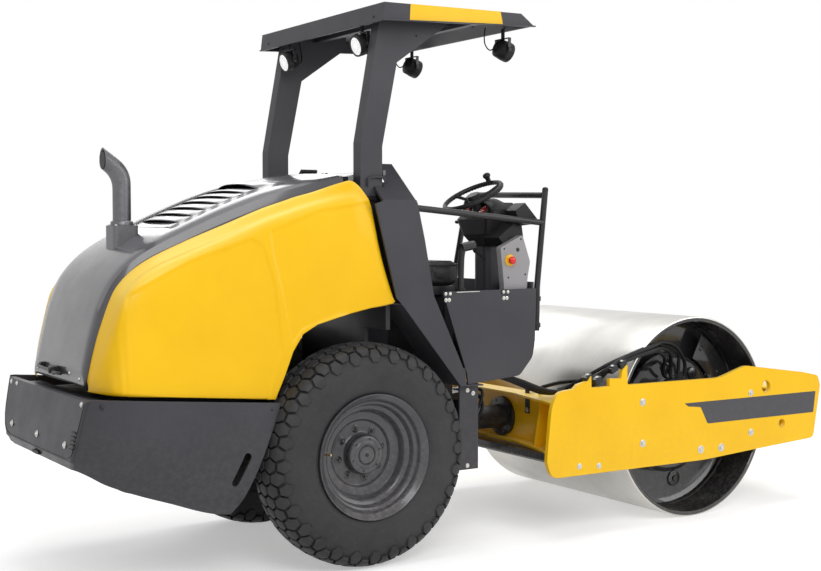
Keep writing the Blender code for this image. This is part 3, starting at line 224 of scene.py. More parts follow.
rim_grey = painted("rim_grey_worked", (0.060, 0.059, 0.066), (0.070, 0.068, 0.076), (0.052, 0.051, 0.057),
                   0.30, 0.50, 0.12, 420.0, 0.05, 0.20, (0.20, 0.20, 0.21), 0.4)
pale = painted("pale_plastic_worked", (0.30, 0.29, 0.30), (0.33, 0.32, 0.33), (0.27, 0.26, 0.27),
               0.50, 0.1, 0.3, 700.0, 0.10, 0.05, (0.42, 0.42, 0.42), 0.3)


def moulded(name, colour, roughness, grain, depth):
    """Black moulded plastic or cast housing with a fine even texture."""
    material = new_material(name, colour, roughness)
    patches = noise_of(material, 9.0, 4.0)
    tone = ramp_of(material, patches, [(0.3, shade(colour, 0.8)), (0.7, shade(colour, 1.3))])
    rough = range_of(material, patches, 0.3, 0.7, roughness - 0.06, roughness + 0.08)
    return finish(material, tone, rough, noise_of(material, grain, 2.0), depth, 0.0008, 0.0015)


plastic = moulded("black_plastic_worked", (0.017, 0.017, 0.018), 0.46, 900.0, 0.15)
cast = moulded("cast_iron_worked", (0.045, 0.045, 0.048), 0.58, 260.0, 0.30)
hose_black = moulded("hose_rubber_worked", (0.014, 0.014, 0.015), 0.42, 500.0, 0.10)


def make_rubber(name, colour, roughness):
    material = new_material(name, colour, roughness)
    broad = noise_of(material, 5.0, 5.0)
    tone = ramp_of(material, broad, [(0.32, shade(colour, 0.78)), (0.5, colour), (0.72, shade(colour, 1.30))])
    scuffs = range_of(material, noise_of(material, 46.0, 6.0, None, 0.7), 0.52, 0.74, 0.0, 0.22)
    dusted = mixed(material, scuffs, tone, (0.100, 0.096, 0.090))
    rough = range_of(material, broad, 0.3, 0.7, roughness - 0.08, roughness + 0.10)
    return finish(material, dusted, rough, noise_of(material, 330.0, 4.0), 0.22, 0.0012)


rubber = make_rubber("tyre_rubber_worked", (0.042, 0.042, 0.044), 0.62)
worn_rubber = make_rubber("tyre_block_worked", (0.036, 0.036, 0.038), 0.48)


def make_drum_steel():
    """Rolled steel: fine lines round the drum, faint cross scratches and dull patches."""
    base = (0.60, 0.59, 0.56)
    material = new_material("drum_steel_worked", base, 0.26, 1.0)
    lines = noise_of(material, 1.0, 5.0, (3.0, 240.0, 3.0), 0.7)
    patches = noise_of(material, 3.2, 6.0, None, 0.6)
    scratches = noise_of(material, 1.0, 3.0, (160.0, 9.0, 160.0))
    tone = ramp_of(material, patches, [(0.30, (0.52, 0.51, 0.48)), (0.52, base), (0.75, (0.67, 0.66, 0.63))])
    streaked = mixed(material, range_of(material, lines, 0.45, 0.75, 0.0, 0.22), tone, (0.42, 0.41, 0.39))
    rough = maths(material, "ADD", range_of(material, patches, 0.3, 0.7, 0.27, 0.33),
                  range_of(material, lines, 0.3, 0.7, 0.0, 0.05))
    height = maths(material, "ADD", lines, maths(material, "MULTIPLY", scratches, 0.4))
    return finish(material, streaked, rough, height, 0.035, 0.0006)


drum_steel = make_drum_steel()


def make_metal(name, colour, roughness):
    material = new_material(name, colour, roughness, 1.0)
    patches = noise_of(material, 60.0, 4.0)
    tone = ramp_of(material, patches, [(0.3, shade(colour, 0.8)), (0.7, colour)])
    rough = range_of(material, patches, 0.3, 0.7, roughness - 0.05, roughness + 0.10)
    return finish(material, tone, rough, patches, 0.08, 0.0005, 0.0012)


zinc = make_metal("zinc_bolt_worked", (0.62, 0.61, 0.58), 0.34)
chrome = make_metal("rod_chrome_worked", (0.78, 0.78, 0.80), 0.12)
exhaust_steel = make_metal("exhaust_steel_worked", (0.17, 0.17, 0.18), 0.40)
brass = make_metal("brass_fitting_worked", (0.55, 0.42, 0.20), 0.35)


def make_vinyl():
    material = new_material("seat_vinyl_worked", (0.020, 0.020, 0.022), 0.46)
    grain = add_node(material, "TexVoronoi", {"Scale": 420.0, "Vector": coords_of(material)})
    folds = noise_of(material, 14.0, 5.0)
    tone = ramp_of(material, folds, [(0.3, (0.015, 0.015, 0.016)), (0.7, (0.030, 0.030, 0.032))])
    rough = range_of(material, folds, 0.3, 0.7, 0.38, 0.56)
    height = maths(material, "ADD", grain.outputs["Distance"], maths(material, "MULTIPLY", folds, 1.5))
    return finish(material, tone, rough, height, 0.25, 0.0012)


vinyl = make_vinyl()


def make_plain(name, colour, roughness, coat, glow=0.0):
    material = new_material(name, colour, roughness, 0.0, coat, 0.1)
    patches = noise_of(material, 40.0, 3.0)
    tone = ramp_of(material, patches, [(0.3, shade(colour, 0.88)), (0.7, colour)])
    # a glow is painted light: the part shines white by itself, though it is no lit lamp
    if glow > 0.0:
        shader = material.node_tree.nodes["Principled BSDF"]
        shader.inputs["Emission Color"].default_value = white
        shader.inputs["Emission Strength"].default_value = glow
    return finish(material, tone, None, patches, 0.05, 0.0004)


switch_red = make_plain("switch_red_worked", (0.75, 0.012, 0.010), 0.30, 0.6)
switch_yellow = make_plain("switch_yellow_worked", (0.90, 0.50, 0.01), 0.40, 0.2)
gauge_red = make_plain("gauge_red_worked", (0.45, 0.02, 0.02), 0.40, 0.4)
# lamp lenses and dial marks glow white, a painted reflection that makes them read bright
lens = make_plain("white_painted_glow", (0.88, 0.89, 0.90), 0.12, 0.8, 0.55)
decal = make_plain("plain_stripe_worked", (0.070, 0.069, 0.078), 0.38, 0.3)


# mesh makers
def join_rings(bm, lower, upper):
    """Faces between two closed rings of points."""
    for i in range(len(lower)):
        j = (i + 1) % len(lower)
        bm.faces.new((lower[i], lower[j], upper[j], upper[i]))


def prism(outline, axis, low, high):
    """Flat outline pushed along an axis: Y takes (x, z), Z takes (x, y), X takes (y, z)."""
    bm = bmesh.new()

    def row(level):
        if axis == "Y":
            return [bm.verts.new((a, level, b)) for a, b in outline]
        if axis == "Z":
            return [bm.verts.new((a, b, level)) for a, b in outline]
        return [bm.verts.new((level, a, b)) for a, b in outline]

    bottom = row(low)
    top = row(high)
    for a, b, c in tessellate_polygon([[Vector((*p, 0.0)) for p in outline]]):
        bm.faces.new((bottom[a], bottom[b], bottom[c]))
        bm.faces.new((top[c], top[b], top[a]))
    join_rings(bm, bottom, top)
    bmesh.ops.recalc_face_normals(bm, faces=bm.faces)
    return bm


def block(low, high):
    outline = [(low[0], low[2]), (high[0], low[2]), (high[0], high[2]), (low[0], high[2])]
    return prism(outline, "Y", low[1], high[1])


def loft(rings):
    """Skin through rings of points, capped at both ends."""
    bm = bmesh.new()
    rows = [[bm.verts.new(p) for p in ring] for ring in rings]
    for lower, upper in zip(rows, rows[1:]):
        join_rings(bm, lower, upper)
    bm.faces.new(list(reversed(rows[0])))
    bm.faces.new(rows[-1])
    bmesh.ops.recalc_face_normals(bm, faces=bm.faces)
    return bm


def ring_body(profile, steps):
    """Closed profile of (radius, y) turned round the Y axis."""
    bm = bmesh.new()
    rows = []
    for i in range(steps):
        angle = 2.0 * pi * i / steps
        rows.append([bm.verts.new((r * cos(angle), y, r * sin(angle))) for r, y in profile])
    for lower, upper in zip(rows, rows[1:] + rows[:1]):
        join_rings(bm, lower, upper)
    bmesh.ops.recalc_face_normals(bm, faces=bm.faces)
    return bm


def open_sheet(bm, rows, facing):
    """Faces through open rows of points, turned so that the sheet faces a direction."""
    for a, b in zip(rows, rows[1:]):
        for k in range(len(a) - 1):
            bm.faces.new((a[k], b[k], b[k + 1], a[k + 1]))
    bmesh.ops.recalc_face_normals(bm, faces=bm.faces)
    if sum(f.normal.dot(Vector(facing)) for f in bm.faces) < 0.0:
        bmesh.ops.reverse_faces(bm, faces=bm.faces)
    return bm


def lathe(profile, steps):
    """Open profile of (radius, y) turned round the Y axis and capped at both ends."""
    rings = []
    for r, y in profile:
        rings.append([(r * cos(2.0 * pi * i / steps), y, r * sin(2.0 * pi * i / steps)) for i in range(steps)])
    return loft(rings)


def pipe(path, radius, steps=12):
    points = [Vector(p) for p in path]
    rings = []
    side = None
    for i, p in enumerate(points):
        if i == 0:
            run = points[1] - points[0]
        elif i == len(points) - 1:
            run = points[-1] - points[-2]
        else:
            run = (points[i + 1] - p).normalized() + (p - points[i - 1]).normalized()
        run.normalize()
        if side is None:
            start = Vector((0.0, 0.0, 1.0)) if abs(run.z) < 0.9 else Vector((1.0, 0.0, 0.0))
            side = run.cross(start).normalized()
        else:
            side = (side - run * side.dot(run)).normalized()
        other = run.cross(side).normalized()
        turns = [2.0 * pi * k / steps for k in range(steps)]
        rings.append([p + side * (radius * cos(t)) + other * (radius * sin(t)) for t in turns])
    return loft(rings)


def corner(before, here, after, radius, steps):
    """Points of a curve that rounds one corner."""
    back = before - here
    ahead = after - here
    cut = min(radius, back.length * 0.45, ahead.length * 0.45)
    start = here + back.normalized() * cut
    end = here + ahead.normalized() * cut
    shares = [k / steps for k in range(steps + 1)]
    return [start * (1 - t) ** 2 + here * (2 * t * (1 - t)) + end * t ** 2 for t in shares]


def round_corners(path, radius, steps=5):
    """Open path in space with its corners rounded."""
    points = [Vector(p) for p in path]
    out = [points[0]]
    for before, here, after in zip(points, points[1:], points[2:]):
        out += corner(before, here, after, radius, steps)
    return out + [points[-1]]


def soft_outline(points, radius, steps=5):
    """Closed flat outline with its corners rounded."""
    points = [Vector(p) for p in points]
    out = []
    for i, here in enumerate(points):
        curve = corner(points[i - 1], here, points[(i + 1) % len(points)], radius, steps)
        out += [(p.x, p.y) for p in curve]
    return out


def circle(cx, cy, radius, steps, start=0.0):
    """Points spaced evenly round a centre; start turns them by a share of one step."""
    turns = [2.0 * pi * (i + start) / steps for i in range(steps)]
    return [(cx + radius * cos(t), cy + radius * sin(t)) for t in turns]


def span(a, b):
    """Two levels on one side of the middle, lower first."""
    return min(a, b), max(a, b)


def moved(bm, offset=(0, 0, 0), turn=None):
    if turn is not None:
        bmesh.ops.transform(bm, matrix=turn, verts=bm.verts)
    bmesh.ops.translate(bm, vec=Vector(offset), verts=bm.verts)
    return bm


def aimed(bm, place, facing):
    """A body drawn along +Y from the origin, turned to face a direction and put in its place."""
    turn = Vector((0.0, 1.0, 0.0)).rotation_difference(Vector(facing)).to_matrix().to_4x4()
    return moved(bm, place, turn)


def mirrored(bm):
    out = bm.copy()
    for v in out.verts:
        v.co.y = -v.co.y
    bmesh.ops.reverse_faces(out, faces=out.faces)
    return out


def place(name, parts, material, body, smooth=35.0, replaces=(), soften=0.0):
    """Joins bodies into one piece that rides on a body of the frame."""
    whole = bmesh.new()
    for part in parts:
        mesh = bpy.data.meshes.new("part")
        part.to_mesh(mesh)
        part.free()
        whole.from_mesh(mesh)
        bpy.data.meshes.remove(mesh)
    bmesh.ops.translate(whole, vec=shift, verts=whole.verts)
    mesh = bpy.data.meshes.new(name)
    whole.to_mesh(mesh)
    whole.free()
    mesh.materials.append(material)
    mesh.polygons.foreach_set("use_smooth", [True] * len(mesh.polygons))
    mesh.set_sharp_from_angle(angle=radians(smooth))
    item = bpy.data.objects.new(name, mesh)
    bpy.context.scene.collection.objects.link(item)
    if soften > 0.0:
        rounder = item.modifiers.new("soften", "BEVEL")
        rounder.width = soften
        rounder.segments = 2
        rounder.limit_method = "ANGLE"
        rounder.angle_limit = radians(40.0)
    if body is not None:
        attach(item, body)
    for node in replaces:
        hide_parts(node)
    return item


def both(parts):
    """The right-hand bodies and their mirror images."""
    return list(parts) + [mirrored(part) for part in parts]


def bolt(centre, facing, size, washer=True):
    """Hexagon head with a chamfered top on a round washer."""
    head = lathe([(size, 0.0), (size, size * 0.62), (size * 0.86, size * 0.74), (size * 0.4, size * 0.76)], 6)
    parts = [aimed(head, centre, facing)]
    if washer:
        disc = lathe([(size * 1.55, -0.0005), (size * 1.55, size * 0.16), (size * 1.35, size * 0.24)], 20)
        parts.append(aimed(disc, centre, facing))
    return parts


def dome(centre, facing, size):
    """Round-headed screw."""
    rows = [(size, -0.0005), (size, size * 0.15), (size * 0.86, size * 0.42), (size * 0.55, size * 0.6),
            (size * 0.15, size * 0.66)]
    return [aimed(lathe(rows, 14), centre, facing)]


# tyres: carcass and nine staggered rows of hexagon blocks
tread_count = 28
tread_depth = 0.0190
block_half = 0.0407
block_gap = 0.0060
block_root = -0.006
block_circle = 0.535
row_step = 0.0352
carcass_rows = [
    # y, radius
    (0.0, 0.5260), (0.030, 0.5253), (0.060, 0.5225), (0.088, 0.5155), (0.107, 0.5045), (0.121, 0.4900),
    (0.1310, 0.4730), (0.1380, 0.4520), (0.1425, 0.4270), (0.1440, 0.4000), (0.1435, 0.3720), (0.1405, 0.3460),
    (0.1365, 0.3270), (0.1300, 0.3120), (0.1225, 0.3020), (0.1100, 0.2856),
]


def smooth_line(points, steps):
    """Catmull-Rom line through points."""
    out = []
    for i in range(len(points) - 1):
        a = points[max(i - 1, 0)]
        b = points[i]
        c = points[i + 1]
        d = points[min(i + 2, len(points) - 1)]
        for k in range(steps):
            t = k / steps
            row = []
            for p, q, r, s in zip(a, b, c, d):
                row.append(0.5 * (2 * q + (r - p) * t + (2 * p - 5 * q + 4 * r - s) * t * t
                                  + (3 * q - p - 3 * r + s) * t ** 3))
            out.append(tuple(row))
    out.append(tuple(points[-1]))
    return out


half_line = smooth_line([(-carcass_rows[1][0], carcass_rows[1][1])] + carcass_rows, 4)[4:]
arc = [0.0]
for p, q in zip(half_line, half_line[1:]):
    arc.append(arc[-1] + hypot(q[0] - p[0], q[1] - p[1]))


def carcass_at(v):
    """Place and outward direction in (y, radius) at a distance along the tyre's section."""
    sign = 1.0 if v >= 0.0 else -1.0
    along = min(abs(v), arc[-1] - 1e-6)
    i = 0
    while arc[i + 1] < along:
        i += 1
    t = (along - arc[i]) / (arc[i + 1] - arc[i])
    y0, r0 = half_line[i]
    y1, r1 = half_line[i + 1]
    length = arc[i + 1] - arc[i]
    return sign * (y0 + (y1 - y0) * t), r0 + (r1 - r0) * t, sign * (r0 - r1) / length, (y1 - y0) / length


def tread_point(angle, v, height):
    y, r, ny, nr = carcass_at(v)
    radius = r + nr * height
    return Vector((radius * cos(angle), y + ny * height, radius * sin(angle)))


def block_height(v):
    side = max(0.0, abs(v) - 0.118) / 0.062
    return tread_depth * (1.0 - min(side, 1.0)) + 0.0045 * min(side, 1.0)


def tyre_parts():
    profile = [(r, -y) for y, r in reversed(half_line)] + [(r, y) for y, r in half_line[1:]]
    sides = []
    for r, y in profile:
        ridge = 0.0
        for at, width, tall in ((0.4430, 0.0035, 0.0016), (0.3420, 0.0040, 0.0022), (0.3290, 0.0025, 0.0014)):
            ridge = max(ridge, tall * max(0.0, 1.0 - abs(r - at) / (width * 1.6)))
        sides.append((r, y + (ridge if y > 0 else -ridge)))
    carcass = ring_body(sides, tread_count * 4)
    tread = bmesh.new()
    corners = []
    for k in range(6):
        t = radians(60.0 * k)
        nxt = radians(60.0 * (k + 1))
        here = (cos(t), sin(t))
        there = (cos(nxt), sin(nxt))
        corners.append(here)
        corners.append(((here[0] + there[0]) / 2.0, (here[1] + there[1]) / 2.0))
    for row in range(-4, 5):
        middle_v = row * row_step
        stagger = 0.5 if row % 2 else 0.0
        for i in range(tread_count):
            angle = 2.0 * pi * (i + stagger) / tread_count
            rings = []
            for scale, lift in ((1.0, block_root), (0.985, -0.0035), (0.90, 0.0), (0.45, 0.0003)):
                ring = []
                for cx, cy in corners:
                    du = (block_half - block_gap) * cx * scale
                    v = middle_v + (block_half - block_gap) * cy * scale
                    height = block_root if lift == block_root else block_height(v) + lift
                    ring.append(tread.verts.new(tread_point(angle + du / block_circle, v, height)))
                rings.append(ring)
            middle = tread.verts.new(tread_point(angle, middle_v, block_height(middle_v) + 0.0004))
            for lower, upper in zip(rings, rings[1:]):
                join_rings(tread, lower, upper)
            for k in range(12):
                tread.faces.new((rings[-1][k], rings[-1][(k + 1) % 12], middle))
    bmesh.ops.recalc_face_normals(tread, faces=tread.faces)
    return carcass, tread


rim_section = [
    # radius, y on the outer side (minus Y), from the hub outward
    (0.020, -0.0600), (0.060, -0.0605), (0.066, -0.0590), (0.070, -0.0560), (0.085, -0.0560), (0.0905, -0.0530),
    (0.0935, -0.0480), (0.094, 0.004), (0.099, 0.0095), (0.106, 0.0125), (0.152, 0.0128), (0.158, 0.0110),
    (0.1625, 0.0050), (0.168, -0.0010), (0.186, -0.0050), (0.203, -0.0075), (0.2095, -0.0140), (0.213, -0.0300),
    (0.2180, -0.0500), (0.224, -0.0570), (0.232, -0.0600), (0.2415, -0.0640), (0.2450, -0.0720), (0.2480, -0.0840),
    (0.2530, -0.0910), (0.262, -0.0940), (0.2670, -0.0990), (0.2700, -0.1100), (0.2730, -0.1190), (0.2800, -0.1260),
    (0.2900, -0.1330), (0.2965, -0.1400), (0.3005, -0.1430), (0.3040, -0.1425), (0.3050, -0.1400),
    (0.3050, -0.1310), (0.2848, -0.1130), (0.240, 0.0), (0.2848, 0.1130), (0.3050, 0.1310), (0.3050, 0.1400),
    (0.2970, 0.1430), (0.250, 0.083), (0.212, 0.019), (0.125, 0.029), (0.125, 0.075), (0.062, 0.078),
]
rim_bolt_circle = 0.123
for side, name in ((-1.0, "right"), (1.0, "left")):
    hub = (0.0, side * track_half, tyre_radius)
    wheel_body = "wheel_" + name
    carcass, tread = tyre_parts()
    place("tyre_carcass_" + name, [moved(carcass, hub)], rubber, wheel_body, 38.0, ["tyre_" + name])
    place("tyre_tread_" + name, [moved(tread, hub)], worn_rubber, wheel_body, 30.0)
    rim = lathe(rim_section, 96)
    studs = []
    cap_parts = []
    for x, z in circle(0.0, 0.0, rim_bolt_circle, 8, 0.25):
        studs += bolt((x, 0.0125, z), (0, -1, 0), 0.0125)
        studs.append(aimed(lathe([(0.0065, 0.0), (0.0065, 0.019), (0.005, 0.021)], 10), (x, 0.0125, z), (0, -1, 0)))
    for k in range(6):
        t = 2.0 * pi * k / 6 + 0.3
        cap_parts += dome((0.078 * cos(t), -0.0560, 0.078 * sin(t)), (0, -1, 0), 0.0055)
    cap_parts.append(ring_body([(0.040, -0.0600), (0.0425, -0.0630), (0.0475, -0.0630), (0.050, -0.0600)], 48))
    cap_parts.append(aimed(lathe([(0.009, 0.0), (0.009, 0.004), (0.006, 0.006)], 6), (0, -0.0598, 0), (0, -1, 0)))
    cap_parts.append(ring_body([(0.0945, -0.046), (0.0965, -0.044), (0.0965, -0.030), (0.0945, -0.028)], 64))
    valve = [pipe(round_corners([(-0.252, -0.085, 0.03), (-0.247, -0.104, 0.03), (-0.240, -0.124, 0.031)], 0.01),
                  0.0042, 10)]
    valve.append(pipe([(-0.2412, -0.120, 0.0309), (-0.2388, -0.128, 0.0312)], 0.0058, 10))
    for label, bodies, paint, old in (("rim_dish_", [rim], rim_grey, ["rim_" + name]),
                                      ("wheel_nuts_", studs, gloss_black, []), ("hub_cap_", cap_parts, black, []),
                                      ("valve_", valve, brass, [])):
        if side > 0:
            bodies = [mirrored(body) for body in bodies]
        place(label + name, [moved(body, hub) for body in bodies], paint, wheel_body, 30.0, old)

# drum: turned steel shell with black heads set back inside it
drum_centre = (drum_x, 0.0, drum_radius)
inner = drum_radius - drum_wall
edge = drum_radius - 0.009
shell_section = [
    (edge, -(drum_half - 0.004)), (edge + 0.001, -drum_half), (drum_radius - 0.005, -drum_half),
    (drum_radius - 0.0015, -(drum_half - 0.0015)), (drum_radius, -(drum_half - 0.005)),
    (drum_radius, drum_half - 0.005), (drum_radius - 0.0015, drum_half - 0.0015), (drum_radius - 0.005, drum_half),
    (edge + 0.001, drum_half), (edge, drum_half - 0.004), (edge, drum_head + 0.05), (edge, -(drum_head + 0.05)),
]
place("drum_rolled_shell", [moved(ring_body(shell_section, 160), drum_centre)], drum_steel, "drum", 30.0,
      ["drum_shell"])
head_parts = []
for s in (-1.0, 1.0):
    liner = [(edge - 0.0003, drum_half - 0.0004), (inner + 0.003, drum_half - 0.0004),
             (inner - 0.001, drum_half - 0.004), (inner - 0.003, drum_half - 0.020),
             (inner - 0.003, drum_head + 0.040), (inner - 0.012, drum_head + 0.018), (inner - 0.045, drum_head),
             (0.20, drum_head), (0.195, drum_head + 0.004), (0.172, drum_head + 0.004), (0.172, drum_head - 0.02),
             (edge - 0.0003, drum_head - 0.02)]
    part = ring_body(liner, 128)
    if s < 0:
        part = mirrored(part)
    head_parts.append(moved(part, drum_centre))
    for x, z in circle(drum_x, drum_radius, 0.183, 12, 0.5):
        head_parts += bolt((x, s * (drum_head + 0.004), z), (0, s, 0), 0.010)
    for angle, reach in ((42.0, 0.40), (162.0, 0.42), (282.0, 0.41)):
        t = radians(angle)
        spot = (drum_x + reach * cos(t), s * drum_head, drum_radius + reach * sin(t))
        head_parts.append(aimed(lathe([(0.045, -0.001), (0.045, 0.008), (0.040, 0.010), (0.018, 0.010),
                                       (0.016, 0.020)], 24),
                                spot, (0, s, 0)))
place("drum_heads", head_parts, gloss_black, "drum", 30.0)
weld_parts = []
for s in (-1.0, 1.0):
    bead = [(inner - 0.004, s * (drum_head + 0.052)), (inner - 0.010, s * (drum_head + 0.046)),
            (inner - 0.0125, s * (drum_head + 0.036)), (inner - 0.004, s * (drum_head + 0.036))]
    weld_parts.append(moved(ring_body(bead, 128), drum_centre))
place("drum_welds", weld_parts, gloss_black, "drum", 40.0)

# hood side panels: folded skin with two pressed fields and the band between them
panel_rows = [
    # x, foot z above the skirt line, foot half width, crease half width, crease z, top z
    (-1.297, 0.000, 0.386, 0.384, 0.945, 0.968), (-1.278, 0.000, 0.470, 0.440, 1.000, 1.058),
    (-1.240, 0.000, 0.550, 0.490, 1.120, 1.205), (-1.172, 0.000, 0.580, 0.522, 1.315, 1.375),
    (-1.070, 0.000, 0.585, 0.533, 1.410, 1.475), (-0.880, 0.000, 0.587, 0.543, 1.488, 1.573),
    (-0.660, 0.000, 0.588, 0.549, 1.565, 1.665), (-0.475, 0.000, 0.588, 0.556, 1.636, 1.741),
    (-0.424, 0.114, 0.588, 0.558, 1.655, 1.758), (-0.381, 0.223, 0.588, 0.560, 1.670, 1.772),
    (-0.328, 0.305, 0.588, 0.563, 1.690, 1.790), (-0.247, 0.355, 0.588, 0.568, 1.715, 1.812),
    (-0.115, 0.399, 0.588, 0.574, 1.740, 1.855), (-0.076, 0.412, 0.588, 0.576, 1.743, 1.866),
    (-0.050, 0.420, 0.588, 0.578, 1.745, 1.872), (0.053, 0.449, 0.588, 0.582, 1.690, 1.785),
    (0.109, 0.460, 0.588, 0.585, 1.490, 1.560), (0.180, 0.477, 0.588, 0.587, 1.290, 1.303),
]
hood_halves = [(-1.312, 0.358), (-1.278, 0.362), (-1.240, 0.375), (-1.172, 0.388), (-1.070, 0.402), (-0.880, 0.430),
               (-0.460, 0.485), (-0.076, 0.532), (0.25, 0.562)]


def between(rows, x):
    """Straight reading of a table whose first column is x."""
    for a, b in zip(rows, rows[1:]):
        if x <= b[0]:
            t = (x - a[0]) / (b[0] - a[0])
            return [p + (q - p) * t for p, q in zip(a, b)]
    return list(rows[-1])


def hermite(rows, x):
    """Smooth reading of the same kind of table, without overshoot at its corners."""
    last = len(rows) - 1
    i = 0
    while i < last - 1 and x > rows[i + 1][0]:
        i += 1
    a = rows[i]
    b = rows[i + 1]
    step = b[0] - a[0]
    t = max(0.0, min(1.0, (x - a[0]) / step))
    out = [x]
    for k in range(1, len(a)):
        slope = (b[k] - a[k]) / step
        before = (a[k] - rows[i - 1][k]) / (a[0] - rows[i - 1][0]) if i > 0 else slope
        after = (rows[i + 2][k] - b[k]) / (rows[i + 2][0] - b[0]) if i + 2 <= last else slope
        m0 = 0.0 if before * slope <= 0.0 else 2.0 * before * slope / (before + slope)
        m1 = 0.0 if after * slope <= 0.0 else 2.0 * after * slope / (after + slope)
        out.append((2 * t ** 3 - 3 * t * t + 1) * a[k] + (t ** 3 - 2 * t * t + t) * step * m0
                   + (3 * t * t - 2 * t ** 3) * b[k] + (t ** 3 - t * t) * step * m1)
    return out


field_lines = [
    # pressed field, clockwise in (x, z)
    [(-1.200, 0.830), (-1.205, 1.190), (-1.165, 1.345), (-0.878, 1.490), (-0.575, 1.590), (-0.520, 1.560),
     (-0.470, 1.380), (-0.433, 1.080), (-0.47, 0.99), (-0.53, 0.80)],
    [(-0.480, 1.625), (-0.229, 1.722), (0.060, 1.770), (0.40, 1.80), (0.40, 1.2), (-0.13, 1.23), (-0.330, 1.170),
     (-0.388, 1.100), (-0.430, 1.350), (-0.470, 1.520)],
]


def line_distance(p, a, b):
    ax, az = a
    bx, bz = b
    dx = bx - ax
    dz = bz - az
    t = max(0.0, min(1.0, ((p[0] - ax) * dx + (p[1] - az) * dz) / (dx * dx + dz * dz)))
    return hypot(p[0] - ax - dx * t, p[1] - az - dz * t)


def inside(p, loop):
    hit = False
    for a, b in zip(loop, loop[1:] + loop[:1]):
        if (a[1] > p[1]) != (b[1] > p[1]) and p[0] < (b[0] - a[0]) * (p[1] - a[1]) / (b[1] - a[1]) + a[0]:
            hit = not hit
    return hit


def pressed(x, z):
    """Depth of the pressed fields, with rounded edges, and the small bead that follows their border."""
    depth = 0.0
    for loop in field_lines:
        near = min(line_distance((x, z), a, b) for a, b in zip(loop, loop[1:] + loop[:1]))
        signed = near if inside((x, z), loop) else -near
        t = max(0.0, min(1.0, (signed + 0.006) / 0.012))
        depth += 0.0040 * t * t * (3.0 - 2.0 * t)
        depth -= 0.0012 * max(0.0, 1.0 - abs(signed + 0.010) / 0.009)
    return depth


panel_rear = -1.297
panel_front = 0.180
row_x = [row[0] for row in panel_rows]
dense_x = [panel_rear + 0.0072 * i for i in range(1, 205)] + [-0.50 + 0.0050 * i for i in range(28)]
panel_x = [panel_rear]
for x in sorted(set(row_x + dense_x)):
    if x <= panel_front and (x - panel_x[-1] > 0.0035 or x in row_x[1:]):
        panel_x.append(x)


def skirt_line(x):
    """Height of the skirt's upper edge, on which the panel stands."""
    return 0.846 - 0.081 * (x + 0.469)


def panel_body():
    bm = bmesh.new()
    columns = []
    levels = 84
    for x in panel_x:
        foot_half, crease_half, crease, top = hermite(panel_rows, x)[2:]
        foot = skirt_line(x) + between(panel_rows, x)[1]
        inn = between(hood_halves, x)[1] + 0.0006
        rise = top - foot
        middle = foot + 0.5 * (crease - foot)
        middle_half = 0.5 * (foot_half + crease_half) + 0.006
        ring = [(foot_half - 0.012, foot), (foot_half - 0.0015, foot + 0.006),
                (foot_half, foot + min(0.03, 0.2 * rise)),
                (middle_half, middle), (crease_half, crease),
                (inn + 0.5 * (crease_half - inn), crease + 0.58 * (top - crease)),
                (inn + 0.012, top - 0.004), (inn + 0.002, top)]
        smooth = smooth_line(ring, 8)
        lengths = [0.0]
        for p, q in zip(smooth, smooth[1:]):
            lengths.append(lengths[-1] + hypot(q[0] - p[0], q[1] - p[1]))
        column = []
        i = 0
        for k in range(levels + 1):
            target = lengths[-1] * k / levels
            while i < len(lengths) - 2 and lengths[i + 1] < target:
                i += 1
            t = (target - lengths[i]) / max(1e-9, lengths[i + 1] - lengths[i])
            y = smooth[i][0] + (smooth[i + 1][0] - smooth[i][0]) * t
            z = smooth[i][1] + (smooth[i + 1][1] - smooth[i][1]) * t
            fade = min(1.0, k / 2.0, (levels - k) / 4.0, (x - panel_rear) / 0.02, (panel_front - x) / 0.012)
            y -= pressed(x, z) * max(0.0, fade)
            column.append(bm.verts.new((x, -y, z)))
        back_low = bm.verts.new((x, -(foot_half - 0.020), foot + 0.002))
        back_high = bm.verts.new((x, -(inn + 0.0002), top - 0.014))
        columns.append([back_low] + column + [back_high])
    for a, b in zip(columns, columns[1:]):
        for k in range(len(a) - 1):
            bm.faces.new((a[k], a[k + 1], b[k + 1], b[k]))
    for column, turned in ((columns[0], False), (columns[-1], True)):
        flange = [bm.verts.new((v.co.x, v.co.y + 0.014, v.co.z)) for v in column]
        for k in range(len(column) - 1):
            face = (column[k], column[k + 1], flange[k + 1], flange[k])
            bm.faces.new(face if turned else tuple(reversed(face)))
    bmesh.ops.recalc_face_normals(bm, faces=bm.faces)
    middle_face = min(bm.faces, key=lambda f: (f.calc_center_median() - Vector((-0.8, -0.57, 1.1))).length)
    if middle_face.normal.y > 0.0:
        bmesh.ops.reverse_faces(bm, faces=bm.faces)
    return bm


right_panel = panel_body()
for name, panel in (("right", right_panel), ("left", mirrored(right_panel))):
    place("hood_panel_" + name, [panel], yellow, "hood", 50.0, ["hood_side_" + name])

# hood tail: latch with its long handle, and small screws
tail_x = -1.3125
latch_parts = [
    pipe(round_corners([(tail_x - 0.024, 0.215, 0.988), (tail_x - 0.030, 0.200, 0.984),
                        (tail_x - 0.030, -0.080, 0.974), (tail_x - 0.018, -0.100, 0.972)], 0.012), 0.0075, 12),
    block((tail_x - 0.034, -0.030, 0.962), (tail_x - 0.004, 0.034, 1.000)),
    block((tail_x - 0.022, 0.185, 0.975), (tail_x - 0.002, 0.222, 1.002)),
    aimed(lathe([(0.014, 0.0), (0.014, 0.010), (0.011, 0.012)], 20), (tail_x - 0.034, 0.002, 0.981), (-1, 0, 0)),
]
place("latch_handle", latch_parts, black, "hood", 35.0, ["hood_latch"], 0.0015)
rear_screws = []
for y, z in ((-0.300, 0.965), (0.300, 0.965), (-0.165, 0.980)):
    rear_screws += dome((tail_x + 0.0005, y, z), (-1, 0, 0), 0.0075)
place("tail_screws", rear_screws, zinc, "hood")


